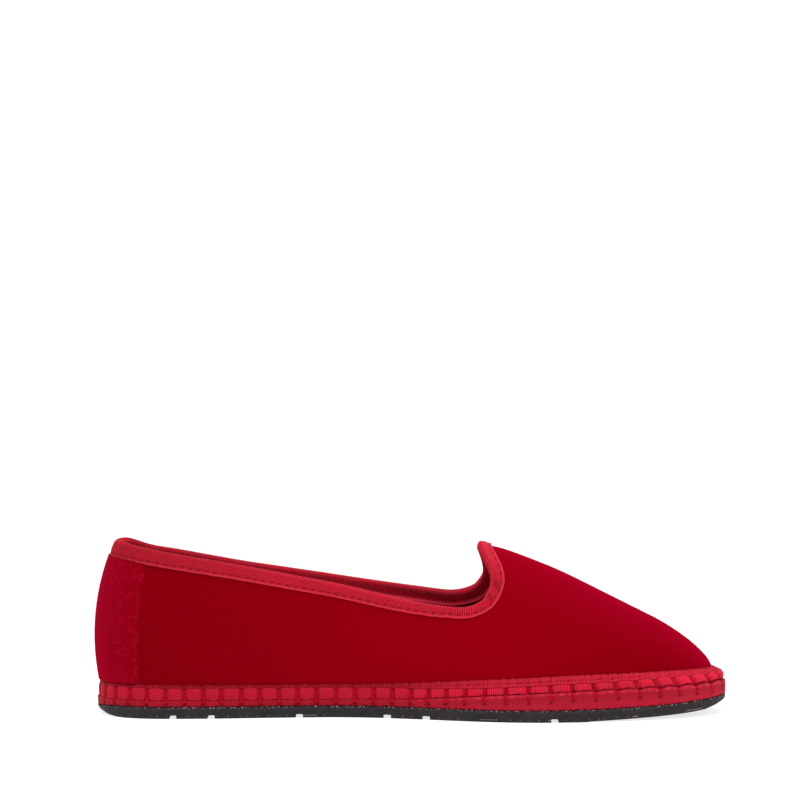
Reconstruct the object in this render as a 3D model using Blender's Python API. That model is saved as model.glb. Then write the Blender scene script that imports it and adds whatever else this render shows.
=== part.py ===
"""A low velvet slipper for the left foot, with a ribbon-bound collar and a stitched edge on a rubber sole.

Run it with: blender --background --python part.py
All sizes are in metres. +X is the toe, +Y the outer side of the foot, and +Z is up.
The sole stands on z = 0, and the origin is under the middle of the slipper's bounding box.
"""

import math

import bmesh
import bpy
from mathutils import Vector
from mathutils.bvhtree import BVHTree
from mathutils.interpolate import poly_3d_calc

# The last, as seen from above
SOLE_LENGTH = 0.2503
HEEL_OVERHANG = 0.0017
HEEL_WIDTH = 0.062
WAIST_WIDTH = 0.0555
BALL_WIDTH = 0.0885
TOE_SET_IN = 0.004
HEEL_CENTRE = 0.030
WAIST_STATION = 0.0965
BALL_STATION_INNER = 0.1725
BALL_STATION_OUTER = 0.1565
TOE_CENTRE = 0.0298
WAIST_INNER_SHARE = 0.455
BALL_INNER_SHARE = 0.486
HEEL_SQUARENESS = 2.35
TOE_SQUARENESS = 1.88

# Heights of the last over the floor
INSTEP_HEIGHT = 0.0669
COLLAR_BACK_HEIGHT = 0.0676
COLLAR_LOW_HEIGHT = 0.0431

# The throat, in the side view, measured from the heel
PEAK_STATION = 0.1525
LOW_STATION = 0.1438
THROAT_FRONT_STATION = 0.1575
THROAT_FRONT_SHARE = 0.49
OUTER_THROAT_BACK = 0.0035

# Thicknesses
GAP = 0.0003
WALL = 0.0020
RIBBON = 0.0006
RIBBON_DROP_HEEL = 0.0059
RIBBON_DROP_THROAT = 0.0036
RIBBON_INSIDE = 0.0048
PATCH = 0.0010
PATCH_REACH = 0.0190
INSOLE_HEEL = 0.0052
INSOLE_TOE = 0.0020

# The sole, from the floor up
RUBBER_TOP = 0.0045
SEAM_TOP = 0.0120
WELT_TOP = 0.0181
TOE_SPRING = 0.0056
HEEL_BEVEL = 0.0024
UPPER_INSET = 0.0052
WELT_LEDGE = 0.0005
WELT_SET_BACK = 0.0009
WELT_ROUNDING_SHARE = 0.8
BAND_ROUNDING = 0.0008
RUBBER_ROUNDING = 0.0007
GROOVE_DEPTH = 0.0014
GROOVE_WIDTH = 0.0029

# Where the grooves cross the tread, as shares of the length
GROOVE_STATIONS = (0.126, 0.186, 0.324, 0.462, 0.523, 0.723)

# Sides of the foot, as signs of y
INNER = -1
OUTER = 1
SIDE_NAMES = {INNER: "in", OUTER: "out"}

# Numbers of faces
HEEL_STEPS = 9
QUARTER_STEPS = 17
THROAT_STEPS = 5
VAMP_STEPS = 7
TOE_STEPS = 7
WALL_ROWS = 7
TOP_ROWS = 8
OUTLINE_STEPS = 24
FINE_STEPS = 240
SLOPE_STEP = 0.02

# The sole's side at stations along the length: how far each edge lies up its own named height.
# floor: share of TOE_SPRING (front) or HEEL_BEVEL (back) that the tread is off the floor.
SOLE_SIDE = (
    dict(at=0.000, floor=0.95, rubber=0.71, seam=0.550, welt=0.715, inset=0.28),
    dict(at=0.012, floor=0.62, rubber=0.82, seam=0.562, welt=0.724, inset=0.285),
    dict(at=0.028, floor=0.13, rubber=0.94, seam=0.575, welt=0.731, inset=0.29),
    dict(at=0.048, floor=0.00, rubber=1.00, seam=0.588, welt=0.729, inset=0.30),
    dict(at=0.130, floor=0.00, rubber=1.00, seam=0.590, welt=0.708, inset=0.32),
    dict(at=0.380, floor=0.00, rubber=1.00, seam=0.580, welt=0.700, inset=0.345),
    dict(at=0.500, floor=0.00, rubber=1.00, seam=0.640, welt=0.765, inset=0.38),
    dict(at=0.580, floor=0.00, rubber=1.00, seam=0.770, welt=0.850, inset=0.41),
    dict(at=0.660, floor=0.00, rubber=1.00, seam=0.895, welt=0.925, inset=0.44),
    dict(at=0.740, floor=0.00, rubber=1.02, seam=0.965, welt=0.980, inset=0.50),
    dict(at=0.800, floor=0.08, rubber=1.09, seam=0.990, welt=1.000, inset=0.57),
    dict(at=0.900, floor=0.27, rubber=1.26, seam=1.000, welt=1.010, inset=0.75),
    dict(at=0.960, floor=0.47, rubber=1.46, seam=1.020, welt=1.005, inset=0.92),
    dict(at=1.000, floor=1.00, rubber=1.66, seam=1.050, welt=0.955, inset=1.00),
)

# Cross sections of the last. Each one is an arc from the sole's edge up to the crown over the foot's middle.
# crown: height over the floor, as a share of COLLAR_BACK_HEIGHT at the back and of INSTEP_HEIGHT in front.
# rise and lean: where the arc's lower handle stands, as shares of the crown's rise and of the half width.
# flat: the length of its upper handle, as a share of the half width.
SECTIONS = (
    dict(at=0.119, crown=1.290, rise=0.43, lean_in=0.21, lean_out=0.21, flat_in=0.68, flat_out=0.68),
    dict(at=0.270, crown=1.290, rise=0.42, lean_in=0.24, lean_out=0.18, flat_in=0.84, flat_out=0.78),
    dict(at=0.390, crown=1.262, rise=0.42, lean_in=0.28, lean_out=0.15, flat_in=0.93, flat_out=0.80),
    dict(at=0.500, crown=1.150, rise=0.41, lean_in=0.20, lean_out=0.10, flat_in=0.78, flat_out=0.68),
    dict(at=0.575, crown=1.050, rise=0.39, lean_in=0.10, lean_out=0.05, flat_in=0.60, flat_out=0.54),
    dict(at=0.612, crown=1.000, rise=0.37, lean_in=0.06, lean_out=0.02, flat_in=0.50, flat_out=0.47),
    dict(at=0.640, crown=0.980, rise=0.375, lean_in=0.04, lean_out=0.01, flat_in=0.48, flat_out=0.46),
    dict(at=0.669, crown=0.943, rise=0.38, lean_in=0.03, lean_out=0.00, flat_in=0.46, flat_out=0.45),
    dict(at=0.733, crown=0.849, rise=0.40, lean_in=0.02, lean_out=0.00, flat_in=0.48, flat_out=0.47),
    dict(at=0.796, crown=0.733, rise=0.42, lean_in=0.01, lean_out=0.00, flat_in=0.50, flat_out=0.50),
    dict(at=0.881, crown=0.574, rise=0.40, lean_in=0.00, lean_out=0.00, flat_in=0.52, flat_out=0.52),
)
HEEL_BACK = dict(rise=0.49, lean=0.268, flat=0.635)

# How far the collar has fallen from its height at the back to its lowest point, on each side of the foot.
# at: share of the way forwards from the back of the heel to the lowest point.
COLLAR_FALL = (
    dict(at=0.00, fall_in=0.000, fall_out=0.000),
    dict(at=0.07, fall_in=0.070, fall_out=0.150),
    dict(at=0.17, fall_in=0.170, fall_out=0.240),
    dict(at=0.34, fall_in=0.320, fall_out=0.415),
    dict(at=0.49, fall_in=0.480, fall_out=0.532),
    dict(at=0.64, fall_in=0.635, fall_out=0.650),
    dict(at=0.80, fall_in=0.835, fall_out=0.783),
    dict(at=0.92, fall_in=0.955, fall_out=0.880),
    dict(at=1.00, fall_in=1.000, fall_out=0.940),
)
TOE_TIP = dict(rise=0.22, lean=-0.02, flat=0.50)


def clear_scene():
    """Removes every object that Blender starts with."""
    for obj in list(bpy.data.objects):
        bpy.data.objects.remove(obj)


def collection(name):
    """A collection of that name in the scene."""
    made = bpy.data.collections.new(name)
    bpy.context.scene.collection.children.link(made)
    return made


def material(name, colour, roughness):
    """A Principled BSDF material."""
    made = bpy.data.materials.new(name)
    made.use_nodes = True
    shader = made.node_tree.nodes["Principled BSDF"]
    shader.inputs["Base Color"].default_value = (*colour, 1.0)
    shader.inputs["Roughness"].default_value = roughness
    shader.inputs["Metallic"].default_value = 0.0
    return made


def mix(a, b, share):
    """The value that share of the way from a to b."""
    return a + (b - a) * share


def smooth(share):
    """Eases a share from 0 to 1 with level ends."""
    share = min(max(share, 0.0), 1.0)
    return share * share * (3 - 2 * share)


def read_table(table, column, share):
    """A column of a table at that share of the length, on a curve through its rows without overshoot."""
    rows = [(row["at"], row[column]) for row in table]
    if share <= rows[0][0]:
        return rows[0][1]
    if share >= rows[-1][0]:
        return rows[-1][1]
    slopes = [(b[1] - a[1]) / (b[0] - a[0]) for a, b in zip(rows, rows[1:])]
    tangents = [slopes[0]]
    for before, after in zip(slopes, slopes[1:]):
        level = before * after <= 0
        tangents.append(0.0 if level else 2 * before * after / (before + after))
    tangents.append(slopes[-1])
    i = max(k for k in range(len(slopes)) if rows[k][0] <= share)
    run = rows[i + 1][0] - rows[i][0]
    t = (share - rows[i][0]) / run
    rise = rows[i + 1][1] - rows[i][1]
    hermite = (t - 1) ** 2 * t * tangents[i] * run + t * t * (t - 1) * tangents[i + 1] * run
    return rows[i][1] + rise * smooth(t) + hermite


def bezier(points, t):
    """A point on the cubic curve with these four control points."""
    a, b, c, d = points
    s = 1 - t
    return a * s**3 + b * (3 * s * s * t) + c * (3 * s * t * t) + d * t**3


def solve(function, low, high):
    """Where a rising function is zero, by halving."""
    for _ in range(40):
        middle = (low + high) / 2
        if function(middle) < 0:
            low = middle
        else:
            high = middle
    return (low + high) / 2


# Plan of the sole

TOE_END = (SOLE_LENGTH + HEEL_OVERHANG) / 2
HEEL_END = TOE_END - SOLE_LENGTH
FOOT_LINE = (BALL_INNER_SHARE - 0.5) * BALL_WIDTH
HEEL_AXIS = HEEL_END + HEEL_CENTRE
TOE_AXIS = TOE_END - TOE_CENTRE


def share_of(x):
    """How far x is along the length, from 0 at the heel to 1 at the toe."""
    return (x - HEEL_END) / SOLE_LENGTH


def middle_line(x):
    """y of the middle of the foot, which bends to the inner side towards the toe."""
    bend = smooth((x - HEEL_AXIS) / (TOE_AXIS - HEEL_AXIS))
    return FOOT_LINE - TOE_SET_IN * bend


def outline_y(x, side):
    """y of the sole's edge on one side of the foot."""
    inner = side == INNER
    heel = HEEL_WIDTH / 2
    waist = WAIST_WIDTH * (WAIST_INNER_SHARE if inner else 1 - WAIST_INNER_SHARE)
    ball = BALL_WIDTH * (BALL_INNER_SHARE if inner else 1 - BALL_INNER_SHARE)
    waist_x = HEEL_END + WAIST_STATION
    ball_x = HEEL_END + (BALL_STATION_INNER if inner else BALL_STATION_OUTER)
    if x < HEEL_AXIS:
        back = min((HEEL_AXIS - x) / HEEL_CENTRE, 1.0)
        return FOOT_LINE + side * heel * (1 - back**HEEL_SQUARENESS) ** (1 / HEEL_SQUARENESS)
    if x < waist_x:
        return FOOT_LINE + side * mix(heel, waist, smooth((x - HEEL_AXIS) / (waist_x - HEEL_AXIS)))
    if x < ball_x:
        return FOOT_LINE + side * mix(waist, ball, smooth((x - waist_x) / (ball_x - waist_x)))
    front = min((x - ball_x) / (TOE_END - ball_x), 1.0)
    full = (1 - front**TOE_SQUARENESS) ** (1 / TOE_SQUARENESS)
    tip = middle_line(TOE_END)
    return tip + (FOOT_LINE + side * ball - tip) * full


def stations(heel_steps, middle_steps, toe_steps):
    """x from heel to toe, closer together where the outline turns round the ends."""
    heel = [HEEL_AXIS - HEEL_CENTRE * math.cos(math.pi / 2 * i / heel_steps) for i in range(heel_steps)]
    middle = [mix(HEEL_AXIS, TOE_AXIS, i / middle_steps) for i in range(middle_steps)]
    toe = [TOE_AXIS + TOE_CENTRE * math.sin(math.pi / 2 * i / toe_steps) for i in range(toe_steps + 1)]
    return heel + middle + toe


def closed_outline(xs):
    """The sole's edge as a closed ring: heel, inner side, toe, outer side."""
    inner = [Vector((x, outline_y(x, INNER))) for x in xs]
    outer = [Vector((x, outline_y(x, OUTER))) for x in xs[-2:0:-1]]
    return inner + outer


def inset_ring(ring, inset):
    """The ring moved inwards by inset, a function of x."""
    made = []
    for i, point in enumerate(ring):
        before = (point - ring[i - 1]).normalized()
        after = (ring[(i + 1) % len(ring)] - point).normalized()
        along = (before + after).normalized()
        inwards = Vector((-along.y, along.x))
        made.append(point + inwards * inset(point.x) / max(along.dot(after), 0.5))
    return made


# Heights of the sole's layers at any x

def flush(x):
    """No inset from the sole's edge, at any x."""
    return 0.0


def tread_height(x):
    reach = TOE_SPRING if x > 0 else HEEL_BEVEL
    return reach * read_table(SOLE_SIDE, "floor", share_of(x))


def rubber_height(x):
    return RUBBER_TOP * read_table(SOLE_SIDE, "rubber", share_of(x))


def seam_height(x):
    return SEAM_TOP * read_table(SOLE_SIDE, "seam", share_of(x))


def welt_height(x):
    return WELT_TOP * read_table(SOLE_SIDE, "welt", share_of(x))


def upper_foot(x):
    """Height of the upper's lower edge, which rests on the welt."""
    return welt_height(x) + GAP


def insole_height(x):
    pad = mix(INSOLE_HEEL, INSOLE_TOE, smooth(share_of(x)))
    return seam_height(x) + GAP + pad


# The upper's outer surface

def upper_inset(x):
    return UPPER_INSET * read_table(SOLE_SIDE, "inset", share_of(x))


def foot_path(side):
    """The line where the upper meets the welt on one side, finely divided."""
    third = FINE_STEPS // 3
    ring = inset_ring(closed_outline(stations(third, third, third)), upper_inset)
    half = len(ring) // 2
    return ring[: half + 1] if side == INNER else [ring[0]] + ring[:half - 1:-1]


FOOT_PATHS = {INNER: foot_path(INNER), OUTER: foot_path(OUTER)}


def foot_point(side, x):
    """The point of the upper's lower edge at that x."""
    path = FOOT_PATHS[side]
    for a, b in zip(path, path[1:]):
        if a.x <= x <= b.x:
            return a.lerp(b, (x - a.x) / max(b.x - a.x, 1e-9))
    return path[-1] if x > path[-1].x else path[0]


def fan_points(side, steps, toe):
    """Points of the lower edge round the heel or the toe, evenly spaced, as far as the fan's axis."""
    path = [p for p in FOOT_PATHS[side] if (p.x >= TOE_AXIS if toe else p.x <= HEEL_AXIS)]
    end = foot_point(side, TOE_AXIS if toe else HEEL_AXIS)
    path = [end] + path if toe else path + [end]
    lengths = [0.0]
    for a, b in zip(path, path[1:]):
        lengths.append(lengths[-1] + (b - a).length)
    made = []
    for i in range(steps + 1):
        reach = lengths[-1] * i / steps
        k = max(j for j in range(len(path) - 1) if lengths[j] <= reach + 1e-12)
        run = max(lengths[k + 1] - lengths[k], 1e-12)
        made.append(path[k].lerp(path[k + 1], (reach - lengths[k]) / run))
    return made


def crown_height(share):
    """Height of the arcs' tops at that share of the length."""
    front = smooth((share - SECTIONS[1]["at"]) / (SECTIONS[4]["at"] - SECTIONS[1]["at"]))
    return mix(COLLAR_BACK_HEIGHT, INSTEP_HEIGHT, front) * read_table(SECTIONS, "crown", share)


def arc_between(foot, axis, crown, rise, lean, flat, slope=0.0):
    """The four control points of an arc from the foot line to the crown."""
    out = Vector((foot.x - axis.x, foot.y - axis.y))
    half = out.length
    out.normalize()
    low = upper_foot(foot.x)
    bottom = Vector((foot.x, foot.y, low))
    top = Vector((axis.x, axis.y, crown))
    lower = bottom + Vector((out.x * half * lean, out.y * half * lean, rise * (crown - low)))
    upper = top + Vector((out.x * half * flat, out.y * half * flat, slope * out.x * half * flat))
    return bottom, lower, upper, top


def section(side, x):
    """The arc straight across the last at x."""
    share = share_of(x)
    name = SIDE_NAMES[side]
    foot = foot_point(side, x)
    axis = Vector((foot.x, middle_line(foot.x)))
    return arc_between(
        foot,
        axis,
        crown_height(share),
        read_table(SECTIONS, "rise", share),
        read_table(SECTIONS, "lean_" + name, share),
        read_table(SECTIONS, "flat_" + name, share),
    )


def fan_section(side, foot, toe):
    """An arc that stands across the outline where it turns round the heel or the toe."""
    axis_x = TOE_AXIS if toe else HEEL_AXIS
    end = TOE_TIP if toe else HEEL_BACK
    row = SECTIONS[-1] if toe else SECTIONS[0]
    name = SIDE_NAMES[side]
    axis = Vector((axis_x, middle_line(axis_x)))
    out = foot - axis
    turn = smooth((out.x / out.length) ** 2)
    share = share_of(axis_x)
    crown = crown_height(share)
    slope = (crown - crown_height(share - SLOPE_STEP)) / (SLOPE_STEP * SOLE_LENGTH) if toe else 0.0
    return arc_between(
        foot,
        axis,
        crown,
        mix(row["rise"], end["rise"], turn),
        mix(row["lean_" + name], end["lean"], turn),
        mix(row["flat_" + name], end["flat"], turn),
        slope,
    )


# The collar's line, in the side view

PEAK_X = HEEL_END + PEAK_STATION
LOW_X = HEEL_END + LOW_STATION
FRONT_X = HEEL_END + THROAT_FRONT_STATION
PEAK_HEIGHT = crown_height(share_of(PEAK_X))
COLLAR_BACK_X = HEEL_END + 0.35 * HEEL_CENTRE


def low_point(side):
    """The collar's lowest point on one side, in the side view."""
    back = OUTER_THROAT_BACK if side == OUTER else 0.0
    fall = COLLAR_FALL[-1]["fall_" + SIDE_NAMES[side]] * (COLLAR_BACK_HEIGHT - COLLAR_LOW_HEIGHT)
    return Vector((LOW_X - back, COLLAR_BACK_HEIGHT - fall))


def throat_line(side, share):
    """From the lowest point round the corner and up to the peak, as share goes from 0 to 1."""
    low = low_point(side)
    back = 0.6 * OUTER_THROAT_BACK if side == OUTER else 0.0
    front = Vector((FRONT_X - back, mix(COLLAR_LOW_HEIGHT, PEAK_HEIGHT, THROAT_FRONT_SHARE)))
    peak = Vector((PEAK_X, PEAK_HEIGHT))
    run = front.x - low.x
    rise = peak.y - front.y
    corner = (low, low + Vector((0.60 * run, 0)), front - Vector((0, 0.59 * (front.y - low.y))), front)
    climb = (front, front + Vector((0, 0.30 * rise)), peak + Vector((0.08 * run, -0.33 * rise)), peak)
    if share < 0.5:
        return bezier(corner, 2 * share)
    return bezier(climb, 2 * share - 1)


def collar_height(side, x):
    """Height of the collar's line over x, behind the throat's corner."""
    low = low_point(side)
    if x <= low.x:
        share = (x - COLLAR_BACK_X) / (low.x - COLLAR_BACK_X)
        fall = read_table(COLLAR_FALL, "fall_" + SIDE_NAMES[side], share)
        return COLLAR_BACK_HEIGHT - fall * (COLLAR_BACK_HEIGHT - COLLAR_LOW_HEIGHT)
    return throat_line(side, solve(lambda t: throat_line(side, t).x - x, 0, 0.5)).y


def collar_share(side, arc):
    """How far up an arc the collar's line crosses it."""
    return solve(lambda t: bezier(arc, t).z - collar_height(side, bezier(arc, t).x), 0.05, 0.95)


CORNER_SHARE = 0.27
CORNER_XS = {side: throat_line(side, CORNER_SHARE).x for side in (INNER, OUTER)}


def throat_row(side, row):
    """x, and the share up the arc, where the throat's edge has this row."""
    corner = collar_share(side, section(side, CORNER_XS[side]))
    t = mix(corner, 1.0, (row / TOP_ROWS) ** 0.9)
    if row == TOP_ROWS:
        return PEAK_X, 1.0

    def above(share):
        point = throat_line(side, share)
        return point.y - bezier(section(side, point.x), t).z

    return throat_line(side, solve(above, CORNER_SHARE, 1.0)).x, t


def quarter_columns(side):
    """Columns of points from the welt up to the collar, from the back of the heel to the throat's corner."""
    arcs = [fan_section(side, foot, toe=False) for foot in fan_points(side, HEEL_STEPS, toe=False)]
    for i in range(1, QUARTER_STEPS):
        forward = math.sin(math.pi / 2 * (i / QUARTER_STEPS) ** 0.92)
        arcs.append(section(side, mix(HEEL_AXIS, CORNER_XS[side], forward)))
    made = []
    for arc in arcs:
        top = collar_share(side, arc)
        made.append([bezier(arc, top * k / WALL_ROWS) for k in range(WALL_ROWS + 1)])
    return made


def vamp_columns(side):
    """Columns from the welt over to the crown, from the throat to the toe."""
    corner_x = CORNER_XS[side]
    corner = collar_share(side, section(side, corner_x))
    edge = [(corner_x, corner * k / WALL_ROWS) for k in range(WALL_ROWS)]
    edge += [throat_row(side, k) for k in range(TOP_ROWS + 1)]
    rows = WALL_ROWS + TOP_ROWS
    straight_x = PEAK_X + 0.3 * (TOE_AXIS - PEAK_X)
    made = []
    for j in range(THROAT_STEPS):
        ease = smooth(j / THROAT_STEPS)
        column = []
        for k, (x, t) in enumerate(edge):
            here = mix(PEAK_X, straight_x, j / THROAT_STEPS) + (x - PEAK_X) * (1 - ease)
            column.append(bezier(section(side, here), mix(t, k / rows, ease)))
        made.append(column)
    arcs = [section(side, mix(straight_x, TOE_AXIS, j / VAMP_STEPS)) for j in range(VAMP_STEPS)]
    arcs += [fan_section(side, foot, toe=True) for foot in fan_points(side, TOE_STEPS, toe=True)]
    return made + [[bezier(arc, k / rows) for k in range(rows + 1)] for arc in arcs]


# Meshes

def finish(mesh_name, bm, where, look):
    """Makes an object of a bmesh, shaded smooth with sharp creases."""
    bmesh.ops.remove_doubles(bm, verts=bm.verts, dist=1e-6)
    bmesh.ops.recalc_face_normals(bm, faces=bm.faces)
    mesh = bpy.data.meshes.new(mesh_name)
    bm.to_mesh(mesh)
    bm.free()
    mesh.materials.append(look)
    mesh.shade_smooth()
    mesh.set_sharp_from_angle(angle=math.radians(40))
    obj = bpy.data.objects.new(mesh_name, mesh)
    where.objects.link(obj)
    return obj


def add_grid(bm, columns):
    """Faces between neighbouring columns of points."""
    made = [[bm.verts.new(point) for point in column] for column in columns]
    for left, right in zip(made, made[1:]):
        for k in range(min(len(left), len(right)) - 1):
            bm.faces.new((left[k], right[k], right[k + 1], left[k + 1]))
    return made


def upper_sheet():
    """The upper's outer surface as one open sheet, with faces pointing out."""
    bm = bmesh.new()
    for side in (INNER, OUTER):
        quarter = quarter_columns(side)
        vamp = vamp_columns(side)
        add_grid(bm, quarter + vamp[:1])
        add_grid(bm, vamp)
    bmesh.ops.remove_doubles(bm, verts=bm.verts, dist=1e-5)
    bmesh.ops.recalc_face_normals(bm, faces=bm.faces)
    lowest = min(bm.faces, key=lambda face: face.calc_center_median().x)
    if lowest.normal.x > 0:
        bmesh.ops.reverse_faces(bm, faces=bm.faces)
    bm.normal_update()
    return bm


def build_upper(where, look):
    """The velvet shell: the outer sheet and an inner one, joined round the collar and round the foot."""
    bm = upper_sheet()
    outer = list(bm.verts)
    faces = list(bm.faces)
    rims = [edge for edge in bm.edges if edge.is_boundary]
    inner = {}
    for vert in outer:
        point = vert.co - vert.normal * WALL
        point.z = max(point.z, upper_foot(point.x))
        inner[vert] = bm.verts.new(point)
    for face in faces:
        bm.faces.new([inner[vert] for vert in reversed(face.verts)])
    for edge in rims:
        a, b = edge.verts
        bm.faces.new((a, b, inner[b], inner[a]))
    return finish("upper", bm, where, look)


class Skin:
    """The upper's outer surface, to lay other pieces on."""

    def __init__(self):
        self.bm = upper_sheet()
        self.bm.faces.ensure_lookup_table()
        self.tree = BVHTree.FromBMesh(self.bm)

    def at(self, point):
        """The nearest point of the surface, and its smooth normal."""
        place, _, index, _ = self.tree.find_nearest(point)
        corners = self.bm.faces[index].verts
        weights = poly_3d_calc([v.co for v in corners], place)
        normal = sum((v.normal * w for v, w in zip(corners, weights)), Vector())
        return place, normal.normalized()


def collar_loop():
    """The collar's edge once round: points, and the points below them in the wall."""
    points, below = [], []
    for side in (INNER, OUTER):
        quarter = quarter_columns(side)
        vamp = vamp_columns(side)
        top = [column[-1] for column in quarter] + vamp[0][WALL_ROWS:]
        under = [column[-2] for column in quarter] + vamp[1][WALL_ROWS:]
        if side == OUTER:
            top, under = top[-2:0:-1], under[-2:0:-1]
        points += top
        below += under
    return points, below


def ribbon_section(drop):
    """The folded ribbon's cross section: (distance into the wall, height over its outer face)."""
    out, back = GAP + RIBBON, -WALL - GAP - RIBBON
    over = -(GAP + RIBBON)
    return (
        (drop, out),
        (drop / 2, out),
        (0.0, out),
        (over * 0.8, out * 0.2),
        (over, -WALL / 2),
        (over * 0.8, back - out * 0.2 + out),
        (0.0, back),
        (RIBBON_INSIDE, back),
        (RIBBON_INSIDE, -WALL - GAP),
        (0.0, -WALL - GAP),
        (-GAP, -WALL),
        (-GAP, 0.0),
        (0.0, GAP),
        (drop / 2, GAP),
        (drop, GAP),
    )


def build_collar_ribbon(skin, where, look):
    """A ribbon folded over the collar's edge, all the way round."""
    points, below = collar_loop()
    rings = []
    for i, point in enumerate(points):
        place, normal = skin.at(point)
        along = (points[(i + 1) % len(points)] - points[i - 1]).normalized()
        into = normal.cross(along).normalized()
        if into.dot(below[i] - point) < 0:
            into.negate()
        forward = min(max((point.x - COLLAR_BACK_X) / (LOW_X - COLLAR_BACK_X), 0.0), 1.0)
        drop = mix(RIBBON_DROP_HEEL, RIBBON_DROP_THROAT, forward)
        ring = []
        for distance, height in ribbon_section(drop):
            if distance > 0:
                place, facing = skin.at(point + into * distance)
            else:
                place, facing = point + into * distance, normal
            ring.append(place + facing * height)
        rings.append(ring)
    bm = bmesh.new()
    loops = [[bm.verts.new(p) for p in ring] for ring in rings]
    for a, b in zip(loops, loops[1:] + loops[:1]):
        for k in range(len(a)):
            n = (k + 1) % len(a)
            bm.faces.new((a[k], b[k], b[n], a[n]))
    return finish("collar_ribbon", bm, where, look)


def build_heel_patch(skin, where, look):
    """A second layer of velvet round the back of the heel, under the ribbon and down to the welt."""
    front = HEEL_END + PATCH_REACH
    columns = []
    for side in (OUTER, INNER):
        arcs = [fan_section(side, foot, toe=False) for foot in fan_points(side, HEEL_STEPS, toe=False)]
        ordered = [(side, arc) for arc in arcs if arc[0].x < front - 0.001]
        path = fan_points(side, FINE_STEPS, toe=False)
        ordered.append((side, fan_section(side, min(path, key=lambda p: abs(p.x - front)), toe=False)))
        columns += ordered[::-1] if side == OUTER else ordered[1:]
    sheets = {GAP: [], GAP + PATCH: []}
    for side, arc in columns:
        top = collar_share(side, arc)
        edge = bezier(arc, top)
        stop = solve(lambda t: RIBBON_DROP_HEEL + GAP - (edge - bezier(arc, t)).length, 0, top)
        for height, sheet in sheets.items():
            column = []
            for k in range(WALL_ROWS + 1):
                place, normal = skin.at(bezier(arc, stop * k / WALL_ROWS))
                point = place + normal * height
                point.z = max(point.z, upper_foot(point.x))
                column.append(point)
            sheet.append(column)
    bm = bmesh.new()
    under, over = [add_grid(bm, sheet) for sheet in sheets.values()]
    rims = [(under[0], over[0]), (under[-1], over[-1])]
    rims += [([column[k] for column in under], [column[k] for column in over]) for k in (0, -1)]
    for a, b in rims:
        for k in range(len(a) - 1):
            bm.faces.new((a[k], a[k + 1], b[k + 1], b[k]))
    return finish("heel_patch", bm, where, look)


def plate_ring(bm, ring, height):
    """A ring of vertices at the height that the function gives over each point."""
    return [bm.verts.new((p.x, p.y, height(p.x))) for p in ring]


def join_rings(bm, rings):
    """Faces between each ring and the next."""
    for a, b in zip(rings, rings[1:]):
        for k in range(len(a)):
            n = (k + 1) % len(a)
            bm.faces.new((a[k], a[n], b[n], b[k]))


def close_across(bm, ring):
    """Closes a ring with strips across the foot, from the heel to the toe."""
    count = len(ring)
    bm.faces.new((ring[0], ring[1], ring[-1]))
    for k in range(1, count // 2 - 1):
        bm.faces.new((ring[k], ring[k + 1], ring[count - k - 1], ring[count - k]))
    bm.faces.new((ring[count // 2 - 1], ring[count // 2], ring[count // 2 + 1]))


def build_plate(name, edge, bottom, top, rounding, where, look):
    """A layer of the sole with rounded edges, between two heights that follow x."""
    outline = closed_outline(stations(OUTLINE_STEPS // 3, OUTLINE_STEPS // 2, OUTLINE_STEPS // 3))
    corner = 0.3 * rounding

    def inset(more):
        return lambda x: edge(x) + more

    def soft(x):
        return min(rounding, (top(x) - bottom(x)) / 2)

    levels = (
        (rounding, bottom),
        (corner, lambda x: bottom(x) + corner),
        (0.0, lambda x: bottom(x) + soft(x)),
        (0.0, lambda x: top(x) - soft(x)),
        (corner, lambda x: top(x) - corner),
        (rounding, top),
    )
    bm = bmesh.new()
    rings = [plate_ring(bm, inset_ring(outline, inset(more)), height) for more, height in levels]
    join_rings(bm, rings)
    close_across(bm, rings[0])
    close_across(bm, rings[-1])
    return finish(name, bm, where, look)


def welt_inner(x):
    """Distance of the welt's inner edge from the sole's edge: a little more than the upper's wall needs."""
    return upper_inset(x) + WALL + WELT_LEDGE


def build_welt(where, look):
    """The ribbon-bound edge of the upper: a padded ring that stands on the sole and carries the upper."""
    outline = closed_outline(stations(OUTLINE_STEPS // 3, OUTLINE_STEPS // 2, OUTLINE_STEPS // 3))

    def level(share):
        return lambda x: mix(seam_height(x) + GAP, welt_height(x), share)

    def set_back(x):
        return GAP + WELT_SET_BACK * (upper_inset(x) / UPPER_INSET) ** 2

    def inset(share):
        return lambda x: mix(set_back(x), upper_inset(x), share * WELT_ROUNDING_SHARE)

    profile = (
        (welt_inner, 0.0),
        (inset(0.55), 0.0),
        (inset(0.16), 0.08),
        (inset(0.0), 0.26),
        (inset(0.0), 0.46),
        (inset(0.12), 0.68),
        (inset(0.45), 0.90),
        (inset(1.0), 1.0),
        (welt_inner, 1.0),
    )
    bm = bmesh.new()
    rings = [plate_ring(bm, inset_ring(outline, reach), level(share)) for reach, share in profile]
    join_rings(bm, rings + rings[:1])
    return finish("welt_ribbon", bm, where, look)


def cut_grooves(outsole, cutters):
    """Grooves right across the tread."""
    for n, share in enumerate(GROOVE_STATIONS):
        bpy.ops.mesh.primitive_cube_add(size=1.0)
        cutter = bpy.context.object
        cutter.name = f"groove_cutter_{n + 1}"
        cutter.dimensions = (GROOVE_WIDTH, 2 * BALL_WIDTH, 2 * GROOVE_DEPTH)
        cutter.location = (HEEL_END + share * SOLE_LENGTH, 0, 0)
        bpy.ops.object.transform_apply(location=False, rotation=False, scale=True)
        for owner in list(cutter.users_collection):
            owner.objects.unlink(cutter)
        cutters.objects.link(cutter)
        cutter.hide_render = True
        cutter.display_type = "WIRE"
        cut = outsole.modifiers.new(f"groove_{n + 1}", "BOOLEAN")
        cut.operation = "DIFFERENCE"
        cut.solver = "EXACT"
        cut.object = cutter


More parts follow.
